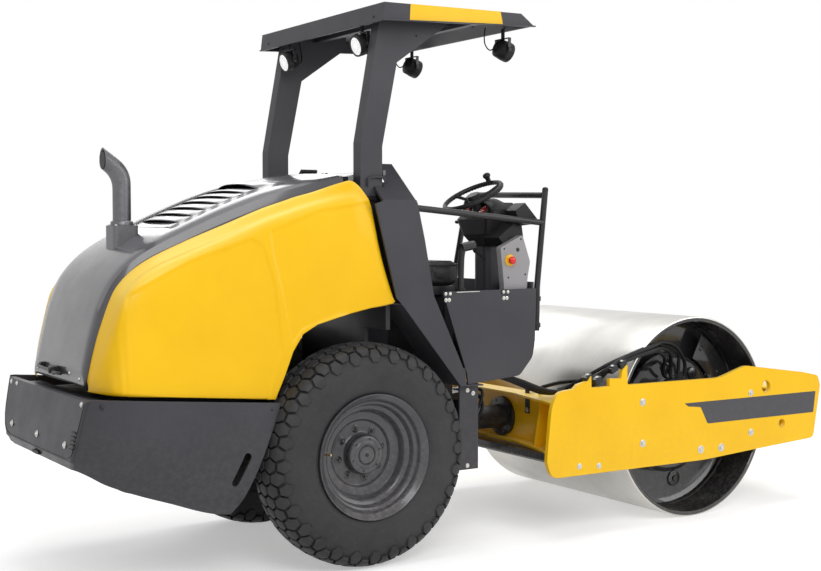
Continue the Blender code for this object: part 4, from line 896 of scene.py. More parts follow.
# hood shell: one smooth rolled skin with a folded shoulder, open where the louvre field sits
cover_rows = [
    # x, half width, shoulder z, crown, shoulder drop, foot z
    (-1.312, 0.358, 1.000, 0.004, 0.044, 0.935), (-1.278, 0.362, 1.150, 0.010, 0.050, 0.935),
    (-1.240, 0.375, 1.285, 0.012, 0.055, 0.935), (-1.172, 0.388, 1.420, 0.014, 0.042, 0.935),
    (-1.070, 0.402, 1.520, 0.016, 0.040, 0.935), (-0.880, 0.430, 1.628, 0.018, 0.050, 0.935),
    (-0.460, 0.485, 1.805, 0.020, 0.055, 0.935), (-0.410, 0.492, 1.820, 0.020, 0.052, 0.950),
    (-0.300, 0.507, 1.850, 0.020, 0.046, 1.200), (-0.190, 0.520, 1.877, 0.020, 0.038, 1.250),
    (-0.076, 0.532, 1.900, 0.020, 0.030, 1.265),
]
field_rear = -0.8604
field_front = -0.2746
field_half = 0.2724
hinge_x = -0.052
hinge_z = 1.905


def cover_top(x, y):
    """Height of the hood's top skin."""
    _, half, top, crown, drop, _ = hermite(cover_rows, x)
    return top + crown * (1.0 - (y / (half - drop)) ** 2)


def cover_ring(x):
    _, half, top, crown, drop, _ = hermite(cover_rows, x)
    foot = between(cover_rows, x)[5]
    flat = half - drop
    low = top - drop
    right = [(-half, foot), (-half, foot + 0.5 * (low - foot)), (-half, low - 0.004), (-(half - 0.001), low),
             (-(half - drop * 0.28), top - drop * 0.26), (-(flat + 0.004), top - 0.002), (-flat + 0.002, top)]
    right.append((-0.5 * (flat + field_half), cover_top(x, 0.5 * (flat + field_half))))
    right += [(-y, cover_top(x, y)) for y in (field_half, 0.18, 0.09)]
    return [(x, y, z) for y, z in right + [(0.0, cover_top(x, 0.0))] + [(-y, z) for y, z in reversed(right)]]


def hood_cover():
    cover_x = sorted([-1.312 + 0.0057 * i for i in range(32)] + [-1.126 + 0.0253 * i for i in range(42)]
                     + [field_rear, field_front, -0.41, -0.30, -0.19, -0.076])
    cover_x = [x for x, y in zip(cover_x, cover_x[1:] + [9.0]) if y - x > 0.002 and x <= -0.0759]
    bm = bmesh.new()
    rows = [[bm.verts.new(p) for p in cover_ring(x)] for x in cover_x]
    for a, b, x0, x1 in zip(rows, rows[1:], cover_x, cover_x[1:]):
        for k in range(len(a) - 1):
            middle_y = 0.5 * (a[k].co.y + a[k + 1].co.y)
            if field_rear < 0.5 * (x0 + x1) < field_front and abs(middle_y) < field_half:
                continue
            bm.faces.new((a[k], b[k], b[k + 1], a[k + 1]))
    bm.faces.new(rows[0])
    bmesh.ops.recalc_face_normals(bm, faces=bm.faces)
    probe = min(bm.faces, key=lambda f: (f.calc_center_median() - Vector((-0.95, 0.0, 1.6))).length)
    if probe.normal.z < 0.0:
        bmesh.ops.reverse_faces(bm, faces=bm.faces)
    return bm


def sheet(item, thickness):
    """Gives a skin its sheet thickness, toward its inside."""
    thick = item.modifiers.new("sheet", "SOLIDIFY")
    thick.thickness = thickness
    thick.offset = -1.0
    return item


sheet(place("hood_cover", [hood_cover()], hood_grey, "hood", 30.0, ["hood_shell"]), 0.009)
eye_parts = []
for y in (-0.30, 0.30):
    for s in (-1.0, 1.0):
        centre = y + s * 0.0188
        eye_parts.append(prism([(hinge_x + x, hinge_z + z) for x, z in (
            (-0.050, -0.012), (-0.050, -0.022), (-0.010, -0.020), (0.009, -0.008), (0.011, 0.006), (0.002, 0.012),
            (-0.022, 0.002))], "Y", centre - 0.006, centre + 0.006))
place("hood_hinge_eyes", eye_parts, black, "hood", 40.0)

# louvre field: seven scoops that open to the rear over a black well that paints the shade beneath them, with a
# strip of fine mesh on the left
scoop_pitch = 0.068
scoops = [(-0.815 + scoop_pitch * i, scoop_pitch, 0.0150) for i in range(6)] + [(-0.407, 0.1324, 0.0270)]
scoop_low = -0.258
scoop_high = 0.196


def scoop_arch(y):
    t = abs(2.0 * (y - scoop_low) / (scoop_high - scoop_low) - 1.0)
    return 0.0 if t >= 1.0 else 1.0 - t ** 2.8


def scoop_sheet(start, length, rise):
    bm = bmesh.new()
    rows = []
    for x_share in (0.0, 0.12, 0.30, 0.50, 0.70, 0.86, 1.0):
        lift = rise * (1.0 - x_share ** 1.6)
        row = []
        for i in range(49):
            y = -field_half + 2.0 * field_half * i / 48
            x = start + length * x_share - 0.020 * scoop_arch(y) * (1.0 - x_share)
            row.append(bm.verts.new((x, y, cover_top(x, y) + lift * scoop_arch(y))))
        rows.append(row)
    return open_sheet(bm, rows, (0, 0, 1))


scoop_parts = [scoop_sheet(start, length, rise) for start, length, rise in scoops]
scoop_parts.append(scoop_sheet(field_rear, -0.815 - field_rear, 0.0))
sheet(place("louvre_scoops", scoop_parts, hood_grey, "hood", 50.0, ["louvre_panel"]), 0.0022)
# painted shade: a black box under the scoops stands where the engine bay would lie in shadow
shade_well = [[(x, y, cover_top(x, y) - depth) for x, y, depth in (
    (x, -0.268, 0.045), (x, 0.268, 0.045), (x, 0.268, 0.050), (x, -0.268, 0.050))] for x in (
        -0.855, -0.75, -0.64, -0.52, -0.40, -0.28)]
shade_well_parts = [loft(shade_well)]
for y in (-field_half, field_half - 0.003):
    shade_well_parts.append(loft([[(x, y, cover_top(x, y) - 0.052), (x, y + 0.003, cover_top(x, y) - 0.052),
                             (x, y + 0.003, cover_top(x, y) - 0.004), (x, y, cover_top(x, y) - 0.004)] for x in (
                                 -0.858, -0.75, -0.64, -0.52, -0.40, -0.277)]))
shade_well_parts.append(block((-0.280, -0.268, cover_top(-0.28, 0.0) - 0.060),
                        (-0.277, 0.268, cover_top(-0.28, 0.26) - 0.003)))
place("louvre_shade_well", shade_well_parts, black, "hood", 30.0)
mesh_bars = []
for i in range(46):
    x = -0.838 + 0.0118 * i
    z = cover_top(x, 0.234)
    mesh_bars.append(prism([(x - 0.0034, z - 0.003), (x + 0.0034, z - 0.0012), (x + 0.0026, z + 0.0062),
                            (x - 0.0026, z + 0.0046)], "Y", 0.209, 0.262))
place("louvre_mesh", mesh_bars, black, "hood", 30.0)

# exhaust: polished stack with a rolled mouth over a square foot
stack_x = -1.00
stack_y = -0.02
stack_path = round_corners([(stack_x, stack_y, 1.64), (stack_x, stack_y, 1.905), (stack_x - 0.100, stack_y, 1.977)],
                           0.09, 10)
outer = pipe(stack_path, 0.0432, 40)
for v in outer.verts:
    if v.co.z > 1.93:
        v.co.x = max(v.co.x, stack_x - 0.0925)
foot_ring = lathe([(0.050, 0.0), (0.054, 0.004), (0.054, 0.018), (0.0495, 0.024), (0.0445, 0.026)], 40)
place("exhaust_pipe", [outer, aimed(foot_ring, (stack_x, stack_y, 1.652), (0, 0, 1))], exhaust_steel, "hood", 40.0)
mouth = aimed(lathe([(0.037, 0.0), (0.037, 0.0015)], 28), (stack_x - 0.0935, stack_y, 1.961), (-1, 0, 0))
for v in mouth.verts:
    v.co.z = 1.9635 + (v.co.z - 1.961) * 1.16
place("exhaust_mouth", [mouth], plastic, "hood", 40.0)
collar_bolts = []
for dx in (-0.047, 0.047):
    for dy in (-0.047, 0.047):
        collar_bolts += bolt((stack_x + dx, stack_y + dy, 1.655), (0, 0, 1), 0.0065)
place("exhaust_bolts", collar_bolts, zinc, "hood")

# yoke: through bolts, plain stripe, hose clamps on the tabs
yoke_bolts = []
for x, z, size in ((1.693, 0.691, 0.0135), (1.695, 0.464, 0.0135), (2.544, 0.684, 0.0125), (2.548, 0.453, 0.0135),
                   (2.140, 0.389, 0.0150), (2.303, 0.386, 0.0150), (1.244, 0.382, 0.0105), (1.380, 0.372, 0.0105)):
    yoke_bolts += bolt((x, -yoke_outer, z), (0, -1, 0), size)
place("yoke_bolts", both(yoke_bolts), zinc, "front_frame", 30.0)
stripe = soft_outline([(2.010, 0.661), (3.107, 0.657), (3.090, 0.530), (2.193, 0.533), (2.136, 0.632),
                       (2.041, 0.641)], 0.006, 3)
stripe_body = prism(stripe, "Y", -(yoke_outer + 0.0007), -(yoke_outer + 0.0001))
place("yoke_stripe", both([stripe_body]), decal, "front_frame", 30.0)
hole_rims = []
for x, z, radius in ((2.672, 0.713, 0.034), (2.812, 0.486, 0.024)):
    rim_ring = ring_body([(radius + 0.0005, 0.0), (radius + 0.0045, 0.0), (radius + 0.004, 0.0012),
                          (radius + 0.001, 0.0012)], 40)
    hole_rims.append(aimed(rim_ring, (x, -yoke_outer, z), (0, -1, 0)))
place("yoke_hole_rims", both(hole_rims), yellow, "front_frame", 40.0)

hose_side = 0.7005
hose_radius = 0.0105
under_x = 0.79
hitch_x = 1.10
flank_x = 1.32
hose_routes = [
    # from the beam's clamps over the side plate to the drum motor
    [(flank_x, -0.500, 0.748), (1.385, -0.535, 0.762), (1.430, -0.600, 0.812), (1.475, -hose_side, 0.885),
     (1.60, -hose_side, 0.940), (1.80, -hose_side, 0.990), (1.92, -0.660, 1.005), (2.08, -0.600, 0.965),
     (2.19, -0.555, 0.870), (2.20, -0.548, 0.800)],
    [(flank_x, -0.535, 0.740), (1.40, -0.575, 0.757), (1.45, -0.640, 0.808), (1.50, -0.676, 0.870),
     (1.62, -0.676, 0.915), (1.80, -0.672, 0.950), (1.90, -0.640, 0.950), (1.99, -0.600, 0.905),
     (2.02, -0.555, 0.820), (2.05, -0.548, 0.790)],
    [(flank_x, -0.465, 0.756), (1.375, -0.500, 0.775), (1.42, -0.590, 0.835), (1.50, -0.676, 0.905),
     (1.64, -0.676, 0.945), (1.80, -0.672, 0.985), (1.95, -0.620, 0.985), (2.12, -0.570, 0.930),
     (2.15, -0.548, 0.850), (2.15, -0.548, 0.800)],
]
cross_routes = [
    # the same hoses where they cross the middle joint, from under the platform to the hitch and on to the beam
    [(under_x, -0.285, 0.886), (0.860, -0.315, 0.874), (0.930, -0.345, 0.862), (1.000, -0.380, 0.842),
     (1.050, -0.402, 0.824), (hitch_x, -0.425, 0.803)],
    [(hitch_x, -0.425, 0.803), (1.160, -0.450, 0.776), (1.210, -0.470, 0.757), (1.265, -0.487, 0.748),
     (flank_x, -0.500, 0.748)],
]
hose_bodies = [pipe(smooth_line(route, 6), hose_radius, 12) for route in hose_routes]
place("motor_hoses", hose_bodies, hose_black, "front_frame", 60.0)


def crossing(name, route):
    """Three hoses side by side where they cross the joint between two bodies; they ride on neither body."""
    bodies = []
    for spread in (0.0, -1.0, 1.0):
        line = []
        for x, y, z in smooth_line(route, 8):
            apart = 0.026 + 0.009 * max(0.0, min(1.0, (x - hitch_x) / (flank_x - hitch_x)))
            drop = 1.0 if x > hitch_x else (x - under_x) / 0.31
            line.append((x, y + apart * spread, z - 0.008 * spread * drop))
        bodies.append(pipe(line, hose_radius, 12))
    item = place(name, bodies, hose_black, None, 60.0)
    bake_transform(item)


crossing("hitch_hoses", cross_routes[0])
crossing("beam_hoses", cross_routes[1])
clamp_parts = []
clamp_bolts = []
for x, z, tilt in ((1.318, 0.845, 0.5), (1.560, 0.905, 0.45), (1.495, 0.882, 0.45), (1.385, 0.828, 0.45)):
    body = block((-0.024, -0.012, -0.016), (0.024, 0.030, 0.016))
    clamp_parts.append(moved(body, (x, -0.722, z), Matrix.Rotation(-tilt, 4, "Y")))
    clamp_bolts += bolt((x - 0.008, -0.722, z + 0.019), (-0.3, 0, 0.9), 0.0065)
clamp_parts.append(block((beam_face, -0.247, 0.600), (beam_face + 0.006, -0.209, 0.735)))
clamp_parts.append(block((beam_face, -0.247, 0.728), (1.345, -0.209, 0.735)))
clamp_bolts += bolt((beam_face, -0.228, 0.620), (-1, 0, 0), 0.0085)
place("hose_clamps", clamp_parts, black, "front_frame", 30.0, (), 0.002)
place("hose_clamp_bolts", clamp_bolts, zinc, "front_frame")

# middle joint: bolt ring of the flange and pin caps
flange_bolts = []
for y, z in circle(0.0, joint_z, 0.0925, 8, 0.5):
    flange_bolts += bolt((beam_face - 0.016, y, z), (-1, 0, 0), 0.0085)
place("flange_bolts", flange_bolts, black, "front_frame")
pin_caps = []
for z, up in ((0.7352, 1), (0.3848, -1)):
    pin_caps.append(aimed(lathe([(0.048, 0.0), (0.048, 0.006), (0.043, 0.009)], 32), (pivot_x, 0.0, z), (0, 0, up)))
    for x, y in circle(pivot_x, 0.0, 0.033, 4, 0.5):
        pin_caps += bolt((x, y, z + up * 0.0085), (0, 0, up), 0.0055, False)
place("pin_caps", pin_caps, black, "rear_frame")

# drum carriers: ring of rubber mounts, motor bolts and guard plate
mount_parts = []
mount_bolts = []
for x, z in circle(drum_x, drum_radius, 0.272, 8, 0.25):
    spot = (x, -(drum_head + 0.072), z)
    mount_parts.append(aimed(lathe([(0.030, 0.0), (0.034, 0.004), (0.034, 0.014), (0.028, 0.018)], 20), spot,
                             (0, -1, 0)))
    mount_bolts += bolt((x, spot[1] - 0.018, z), (0, -1, 0), 0.0105)
for x, z in circle(drum_x, drum_radius, 0.168, 6):
    mount_bolts += bolt((x, -0.583, z), (0, -1, 0), 0.009)
place("rubber_mounts", both(mount_parts), gloss_black, "front_frame", 35.0)
place("mount_bolts", both(mount_bolts), black, "front_frame", 30.0)


def drum_arc(radius, degrees):
    """Points in (x, z) round the drum's axle."""
    return [(drum_x + radius * cos(radians(a)), drum_radius + radius * sin(radians(a))) for a in degrees]


guard = [prism(drum_arc(0.500, range(26, 66, 4)) + drum_arc(0.350, range(62, 22, -4)), "Y", -0.506, -0.500)]
for x, z in drum_arc(0.430, (30, 58)):
    guard += bolt((x, -0.506, z), (0, -1, 0), 0.010)
place("carrier_guard", both(guard), gloss_black, "front_frame", 30.0, (), 0.002)

# engine under the hood: ribbed flanks, rocker cover, air filter and belt pulleys on the plain block
ribs = []
for k in range(8):
    x = -0.985 + 0.080 * k
    for y in (-0.2765, 0.2765):
        ribs.append(block((x, y - 0.0085, 0.93), (x + 0.014, y + 0.0085, 1.285)))
for z in (0.915, 1.290):
    for y in (-0.2765, 0.2765):
        ribs.append(block((-1.010, y - 0.0085, z), (-0.395, y + 0.0085, z + 0.016)))
place("engine_ribs", ribs, black, "rear_frame", 30.0, (), 0.003)
rocker = [block((-0.930, -0.175, 1.3385), (-0.480, 0.015, 1.392))]
for k in range(6):
    x = -0.895 + 0.068 * k
    rocker.append(block((x, -0.165, 1.388), (x + 0.024, 0.005, 1.400)))
place("engine_rocker_cover", rocker, pale, "rear_frame", 30.0, (), 0.006)
filter_line = [(0.0, 0.0), (0.058, 0.0), (0.066, 0.008), (0.066, 0.040), (0.071, 0.046), (0.071, 0.058),
               (0.066, 0.064), (0.066, 0.250), (0.071, 0.256), (0.071, 0.268), (0.066, 0.274), (0.066, 0.300),
               (0.054, 0.312), (0.0, 0.312)]
place("engine_air_filter", [aimed(lathe(filter_line, 32), (-0.870, 0.135, 1.404), (1.0, 0.0, 0.0))], plastic,
      "rear_frame", 35.0)
pulley_line = [(0.0, 0.0), (0.60, 0.0), (0.60, 0.22), (1.0, 0.26), (0.86, 0.40), (1.0, 0.54), (0.96, 0.58),
               (0.34, 0.54), (0.30, 0.66), (0.0, 0.66)]
pulleys = []
for y, z, size in ((0.0, 1.020, 0.085), (0.150, 1.215, 0.048), (-0.130, 1.230, 0.056)):
    line = [(r * size, d * 0.060) for r, d in pulley_line]
    pulleys.append(aimed(lathe(line, 32), (-1.0495, y, z), (-1.0, 0.0, 0.0)))
place("engine_pulleys", pulleys, zinc, "rear_frame", 35.0)

# counterweight and skirts: screws, slats, tow slot and seams
def tail_face(z):
    """Place of the counterweight's sloping rear face at a height."""
    return -1.3765 - 0.2035 * (0.897 - z)


tail_bolts = []
for y, z, size in ((0.427, 0.880, 0.008), (-0.520, 0.880, 0.008), (0.385, 0.690, 0.0105), (-0.010, 0.690, 0.0105),
                   (-0.405, 0.692, 0.0105), (0.520, 0.880, 0.008)):
    tail_bolts += bolt((tail_face(z) + 0.001, y, z), (-1, 0, 0.2), size)
place("tail_bolts", tail_bolts, zinc, "rear_frame", 30.0)
slats = []
for k in range(5):
    z = 0.686 + 0.018 * k
    slats.append(moved(block((-0.0035, -0.024, -0.0035), (0.0015, 0.024, 0.0035)),
                       (tail_face(z) - 0.003, -0.505, z)))
tow_slot = soft_outline([(-0.045, 0.597), (0.045, 0.597), (0.045, 0.612), (-0.045, 0.612)], 0.006, 3)
slats.append(prism(tow_slot, "X", -1.4245, -1.405))
place("tail_slats", slats, plastic, "rear_frame", 30.0)
seams = []
for s in (-1.0, 1.0):
    seams.append([(-1.3785, s * 0.5550, 0.887), (-1.3942, s * 0.5440, 0.810), (-1.4095, s * 0.5300, 0.735),
                  (-1.4190, s * 0.5020, 0.655), (-1.4213, s * 0.4300, 0.633), (-1.4213, 0.0, 0.630)])
place("tail_seams", [pipe(round_corners(path, 0.045), 0.0016, 6) for path in seams], hose_black, "rear_frame", 60.0)
skirt_rings = [
    # x of the section, then half width and height of its outer skin from the top edge to the foot
    (-1.345, 0.599, 0.904, 0.591, 0.820, 0.576, 0.720, 0.541, 0.640, 0.474, 0.560),
    (-1.258, 0.606, 0.897, 0.605, 0.795, 0.596, 0.685, 0.564, 0.586, 0.500, 0.508),
    (-1.000, 0.614, 0.876, 0.628, 0.750, 0.631, 0.620, 0.604, 0.500, 0.536, 0.411),
    (-0.720, 0.620, 0.853, 0.640, 0.710, 0.648, 0.560, 0.622, 0.418, 0.556, 0.328),
    (-0.440, 0.620, 0.830, 0.642, 0.695, 0.652, 0.550, 0.630, 0.408, 0.562, 0.314),
]
tail_corner = [
    # x, half width and height of the rear edge, where the skirt wraps round the counterweight's side
    (-1.399, 0.462, 0.588), (-1.404, 0.478, 0.600), (-1.411, 0.520, 0.640), (-1.402, 0.552, 0.720),
    (-1.384, 0.574, 0.820), (-1.366, 0.590, 0.904),
]
skirt_top = 0.904
skirt_foot = 0.560
corner_foot = 0.589
skirt_rear = -1.3455


def skirt_skin():
    """Right-hand side skirt: a bulged sheet whose front edge leans along the wheel arch."""
    levels = 30
    bm = bmesh.new()
    rows = []
    for i in range(41):
        row = []
        for k in range(levels + 1):
            t = k / levels
            z = 0.83 - 0.49 * t
            for _ in range(3):
                front = -0.462 - 0.222 * (0.830 - z) / 0.485
                x = skirt_rear + (front - skirt_rear) * i / 40
                section = hermite(skirt_rings, x)[1:]
                line = smooth_line(list(zip(section[::2], section[1::2])), 8)
                place_on = t * (len(line) - 1)
                j = min(int(place_on), len(line) - 2)
                y = line[j][0] + (line[j + 1][0] - line[j][0]) * (place_on - j)
                z = line[j][1] + (line[j + 1][1] - line[j][1]) * (place_on - j)
            row.append(bm.verts.new((x, -y, z)))
        rows.append(row)
    wrap = []
    for vertex in rows[0]:
        z = skirt_top - (skirt_top - vertex.co.z) * (skirt_top - corner_foot) / (skirt_top - skirt_foot)
        x, y = hermite([(row[2], row[0], row[1]) for row in tail_corner], z)[1:]
        wrap.append(bm.verts.new((x, -y, z)))
    return open_sheet(bm, [wrap] + rows, (0, -1, 0))


def cut_through(item, cutter):
    """Takes a cutter body out of a piece and keeps the result as its plain mesh."""
    mesh = bpy.data.meshes.new("cutter")
    bmesh.ops.translate(cutter, vec=shift, verts=cutter.verts)
    cutter.to_mesh(mesh)
    cutter.free()
    tool = bpy.data.objects.new("cutter", mesh)
    bpy.context.scene.collection.objects.link(tool)
    carve = item.modifiers.new("carve", "BOOLEAN")
    carve.operation = "DIFFERENCE"
    carve.object = tool
    carve.solver = "EXACT"
    graph = bpy.context.evaluated_depsgraph_get()
    carved = bpy.data.meshes.new_from_object(item.evaluated_get(graph))
    item.modifiers.clear()
    carved.name = item.name
    item.data = carved
    bpy.data.objects.remove(tool)
    carved.set_sharp_from_angle(angle=radians(40.0))


# the slot leans with the wheel arch and has round ends
slot_x, slot_z = -0.677, 0.544
slot_long, slot_wide = 0.128, 0.036
slot_lean = radians(62.6)
slot = []
for end, first in ((1.0, 90), (-1.0, 270)):
    for t in [radians(first - 22.5 * i) for i in range(9)]:
        a, b = end + 0.28 * cos(t), sin(t)
        slot.append((slot_x + 0.5 * (slot_long * a * cos(slot_lean) - slot_wide * b * sin(slot_lean)),
                     slot_z + 0.5 * (slot_long * a * sin(slot_lean) + slot_wide * b * cos(slot_lean))))
right_skin = skirt_skin()
for name, skin, side in (("right", right_skin, -1.0), ("left", mirrored(right_skin), 1.0)):
    piece = sheet(place("skirt_skin_" + name, [skin], grey, "rear_frame", 40.0, ["side_skirt_" + name]), 0.010)
    cut_through(piece, prism(slot, "Y", *span(side * 0.5, side * 0.75)))
skirt_bolts = []
for x, z in ((-1.318, 0.872), (-0.515, 0.802)):
    skirt_bolts += dome((x, -0.6075 if x < -1.0 else -0.6215, z), (0, -1, 0), 0.009)
place("skirt_screws", both(skirt_bolts), black, "rear_frame")

# pillar and platform: rod round the post's foot, pads on the platform's edge, bolts and floor mat
rods = []
for s in (-1.0, 1.0):
    path = [(0.062, s * 0.536, 1.846), (0.062, s * 0.540, 1.886), (0.100, s * 0.540, 1.893),
            (0.150, s * 0.5405, 1.893), (0.160, s * 0.536, 1.870)]
    rods.append(pipe(round_corners(path, 0.012), 0.0055, 10))
place("post_rods", rods, grey, "rear_frame", 60.0)
pad_bolts = []
pads = []
for s in (-1.0, 1.0):
    for x in (0.490, 0.855):
        near, far = span(s * 0.6005, s * 0.6045)
        pads.append(block((x - 0.026, near, 1.302), (x + 0.026, far, 1.322)))
        for dx in (-0.014, 0.014):
            pad_bolts += bolt((x + dx, s * 0.6045, 1.312), (0, s, 0), 0.0055)
            pad_bolts += bolt((x + dx * 0.7, s * 0.6005, 1.280), (0, s, 0), 0.0065)
    for x, z in ((0.640, 0.862), (0.640, 0.420), (0.675, 0.792)):
        pad_bolts += bolt((x, s * 0.5652, z if z < 0.8 else 0.81), (0, s, 0), 0.0075)
place("edge_pads", pads, grey, "rear_frame", 30.0, (), 0.001)
place("platform_bolts", pad_bolts, zinc, "rear_frame", 30.0)
mat_ribs = [block((0.625, -0.575, 0.9305), (0.975, 0.575, 0.9345))]
for i in range(24):
    y = -0.560 + i * 0.0486
    mat_ribs.append(prism([(y, 0.9340), (y + 0.020, 0.9340), (y + 0.017, 0.9375), (y + 0.003, 0.9375)], "X",
                          0.635, 0.965))
place("floor_mat", mat_ribs, hose_black, "rear_frame", 30.0)

# canopy: yellow bands on the fascias, cross ribs below and lifting studs above
band_parts = []
for s in (-1.0, 1.0):
    shape = [(0.231, 2.651), (0.797, 2.679), (0.782, 2.7425), (0.236, 2.7305)]
    band_parts.append(prism(shape, "Y", *span(s * (roof_half + 0.0003), s * (roof_half + 0.0011))))
place("roof_bands", band_parts, yellow, "rear_frame", 30.0)
roof_bits = []
for x in (0.765, 0.330):
    z = roof_low + 0.045 * (x - 0.075) / 0.925 + 0.030
    rib = [(x - 0.022, z + 0.036), (x - 0.020, z), (x + 0.020, z), (x + 0.022, z + 0.036)]
    roof_bits.append(prism(rib, "Y", -0.634, 0.634))
for y in (-0.250, 0.250):
    roof_bits.append(prism([(0.10, 2.690), (0.90, 2.722), (0.90, 2.730), (0.10, 2.698)], "Y", y - 0.004,
                           y + 0.004))
place("roof_ribs", roof_bits, grey, "rear_frame", 30.0)
studs = []
for x, y in ((0.160, -0.560), (0.160, 0.560), (0.820, -0.560), (0.820, 0.560)):
    z = roof_low + 0.090 + (0.021 * (x - 0.086) / 0.83)
    studs += bolt((x, y, z - 0.001), (-0.02, 0, 1), 0.0095)
for s in (-1.0, 1.0):
    studs += dome((0.350, s * 0.5285, 2.600), (0, s, 0), 0.0055)
    studs += dome((0.0778, s * 0.560, 2.668), (-1, 0, 0), 0.0065)
place("roof_studs", studs, black, "rear_frame", 30.0)

# work lamps: ribbed housing, lens with a painted white glow and reflector rings, bracket and lead
lamp_table = [
    # name, x, y, z, facing
    ("rear_right", 0.120, -0.385, 2.556, -1.0), ("rear_left", 0.120, 0.385, 2.556, -1.0),
    ("front_right", 0.955, -0.440, 2.584, 1.0), ("front_left", 0.955, 0.440, 2.584, 1.0),
]


def lamp_piece(label, bodies, paint, spot, facing):
    """Lamp bodies drawn along +Y, turned forward or back, tipped down and put in their place."""
    for bm in bodies:
        moved(bm, (0, 0, 0), Matrix.Rotation(radians(90.0), 4, "Z"))
        if facing < 0:
            moved(bm, (0, 0, 0), Matrix.Rotation(pi, 4, "Z"))
        moved(bm, spot, Matrix.Rotation(radians(18.0 * facing), 4, "Y"))
    place(label, bodies, paint, "rear_frame", 35.0)


for name, x, y, z, facing in lamp_table:
    housing = [ring_body([(0.0446, -0.0365), (0.0450, -0.0405), (0.0525, -0.0405), (0.0535, -0.034),
                          (0.0530, -0.006), (0.0505, -0.003), (0.044, -0.003)], 48)]
    housing.append(lathe([(0.047, -0.028), (0.046, 0.033), (0.040, 0.040), (0.028, 0.046), (0.012, 0.047)], 40))
    for k in range(5):
        at = 0.001 + 0.0072 * k
        fin = 0.0515 - 0.0006 * k
        housing.append(ring_body([(0.042, at), (fin, at), (fin, at + 0.0032), (0.042, at + 0.0032)], 40))
    housing.append(block((-0.007, 0.038, -0.010), (0.007, 0.056, 0.010)))
    lens_parts = [lathe([(0.0300, -0.0392), (0.0440, -0.0380), (0.0445, -0.0362)], 40)]
    chips = []
    for cx, cz in circle(0.0, 0.0, 0.026, 6):
        chip = ring_body([(0.0085, -0.0402), (0.0105, -0.0402), (0.0105, -0.0385), (0.0085, -0.0385)], 16)
        chips.append(moved(chip, (cx, 0, cz)))
    for label, bodies, paint in (("lamp_housing_", housing, plastic), ("lamp_lens_", lens_parts, lens),
                                 ("lamp_rings_", chips, chrome)):
        lamp_piece(label + name, bodies, paint, (x, y, z), facing)
    ceiling = roof_low + 0.078 + (0.0243 * (x - 0.095) / 0.813)
    if x > 0.9:
        ceiling = min(ceiling, 2.7393 - 0.63 * (x + 0.010 - 0.908))
    yoke = []
    for dy in (-0.0575, 0.0575):
        yoke.append(block((x - 0.009, y + dy - 0.002, z - 0.012), (x + 0.009, y + dy + 0.002, z + 0.058)))
    yoke.append(block((x - 0.009, y - 0.0595, z + 0.056), (x + 0.009, y + 0.0595, z + 0.060)))
    for dy, side in ((-0.0595, -1), (0.0595, 1)):
        yoke += bolt((x, y + dy, z), (0, side, 0), 0.0065)
    place("lamp_yoke_" + name, yoke, black, "rear_frame", 35.0)
    back = 0.045 * facing
    lead = [(x - back, y + 0.004, z + 0.012 * facing), (x - back - 0.030 * facing, y + 0.016, z - 0.004),
            (x - back - 0.048 * facing, y + 0.034, z + 0.030), (x - back - 0.044 * facing, y + 0.044, z + 0.080),
            (x - back - 0.036 * facing, y + 0.046, ceiling - 0.002)]
    place("lamp_lead_" + name, [pipe(smooth_line(lead, 6), 0.0033, 8)], hose_black, "rear_frame", 60.0)

# operator's station
wheel_centre = (0.863, station_y, 1.817)
wheel_turn = Matrix.Rotation(radians(-27.0), 4, "Y")


flat = Matrix.Rotation(radians(90.0), 4, "X")


def wheel_part(profile, steps, x=0.0, y=0.0, z=0.0):
    """Turned body that stands on the steering wheel's plane."""
    return moved(moved(lathe(profile, steps), (x, y, z), flat), wheel_centre, wheel_turn)


hub_pad = wheel_part([(0.036, 0.006), (0.036, -0.002), (0.032, -0.006), (0.020, -0.008)], 32)
place("wheel_hub_pad", [hub_pad], plastic, "steering_wheel", 35.0)
grip = [wheel_part([(0.0042, -0.0006), (0.0046, 0.0004), (0.0030, 0.0012)], 8, x, y, -0.0132)
        for x, y in circle(0.0, 0.0, 0.1632, 60)]
place("wheel_finger_pads", grip, plastic, "steering_wheel", 35.0)

# dashboard: a cowl that arches over the round instruments
cowl_rings = []
for x, width, rise in ((0.888, 0.138, 0.079), (0.915, 0.150, 0.090), (0.985, 0.150, 0.093), (1.030, 0.128, 0.076)):
    turns = [radians(-72.0 + 9.0 * k) for k in range(17)]
    ring = [(width * sin(t), rise * cos(t)) for t in turns]
    ring += [((width - 0.008) * sin(t), (rise - 0.008) * cos(t)) for t in reversed(turns)]
    cowl_rings.append([(x, station_y + y, 1.712 + z) for y, z in ring])
place("dash_cowl", [loft(cowl_rings)], plastic, "rear_frame", 45.0, (), 0.0015)

knob_line = [(0.0150, 0.034), (0.0205, 0.041), (0.0215, 0.048), (0.0185, 0.056), (0.0110, 0.061), (0.0030, 0.062)]
knob = wheel_part(knob_line, 24, 0.155 * cos(radians(12.0)), 0.155 * sin(radians(12.0)))
place("wheel_knob", [knob], plastic, "steering_wheel", 50.0)
cap = lathe([(0.0165, -0.002), (0.0168, 0.004), (0.0150, 0.0105), (0.0100, 0.0150), (0.0035, 0.0168)], 16)
place("rail_cap", [aimed(cap, (1.1328, -0.580, 1.8435), (0.1024, 0.0, 0.9947))], plastic, "rear_frame", 60.0)
place("edge_strip", both([block((0.545, -0.6030, 1.3165), (0.690, -0.5800, 1.3205))]), zinc, "rear_frame", 30.0, (),
      0.001)

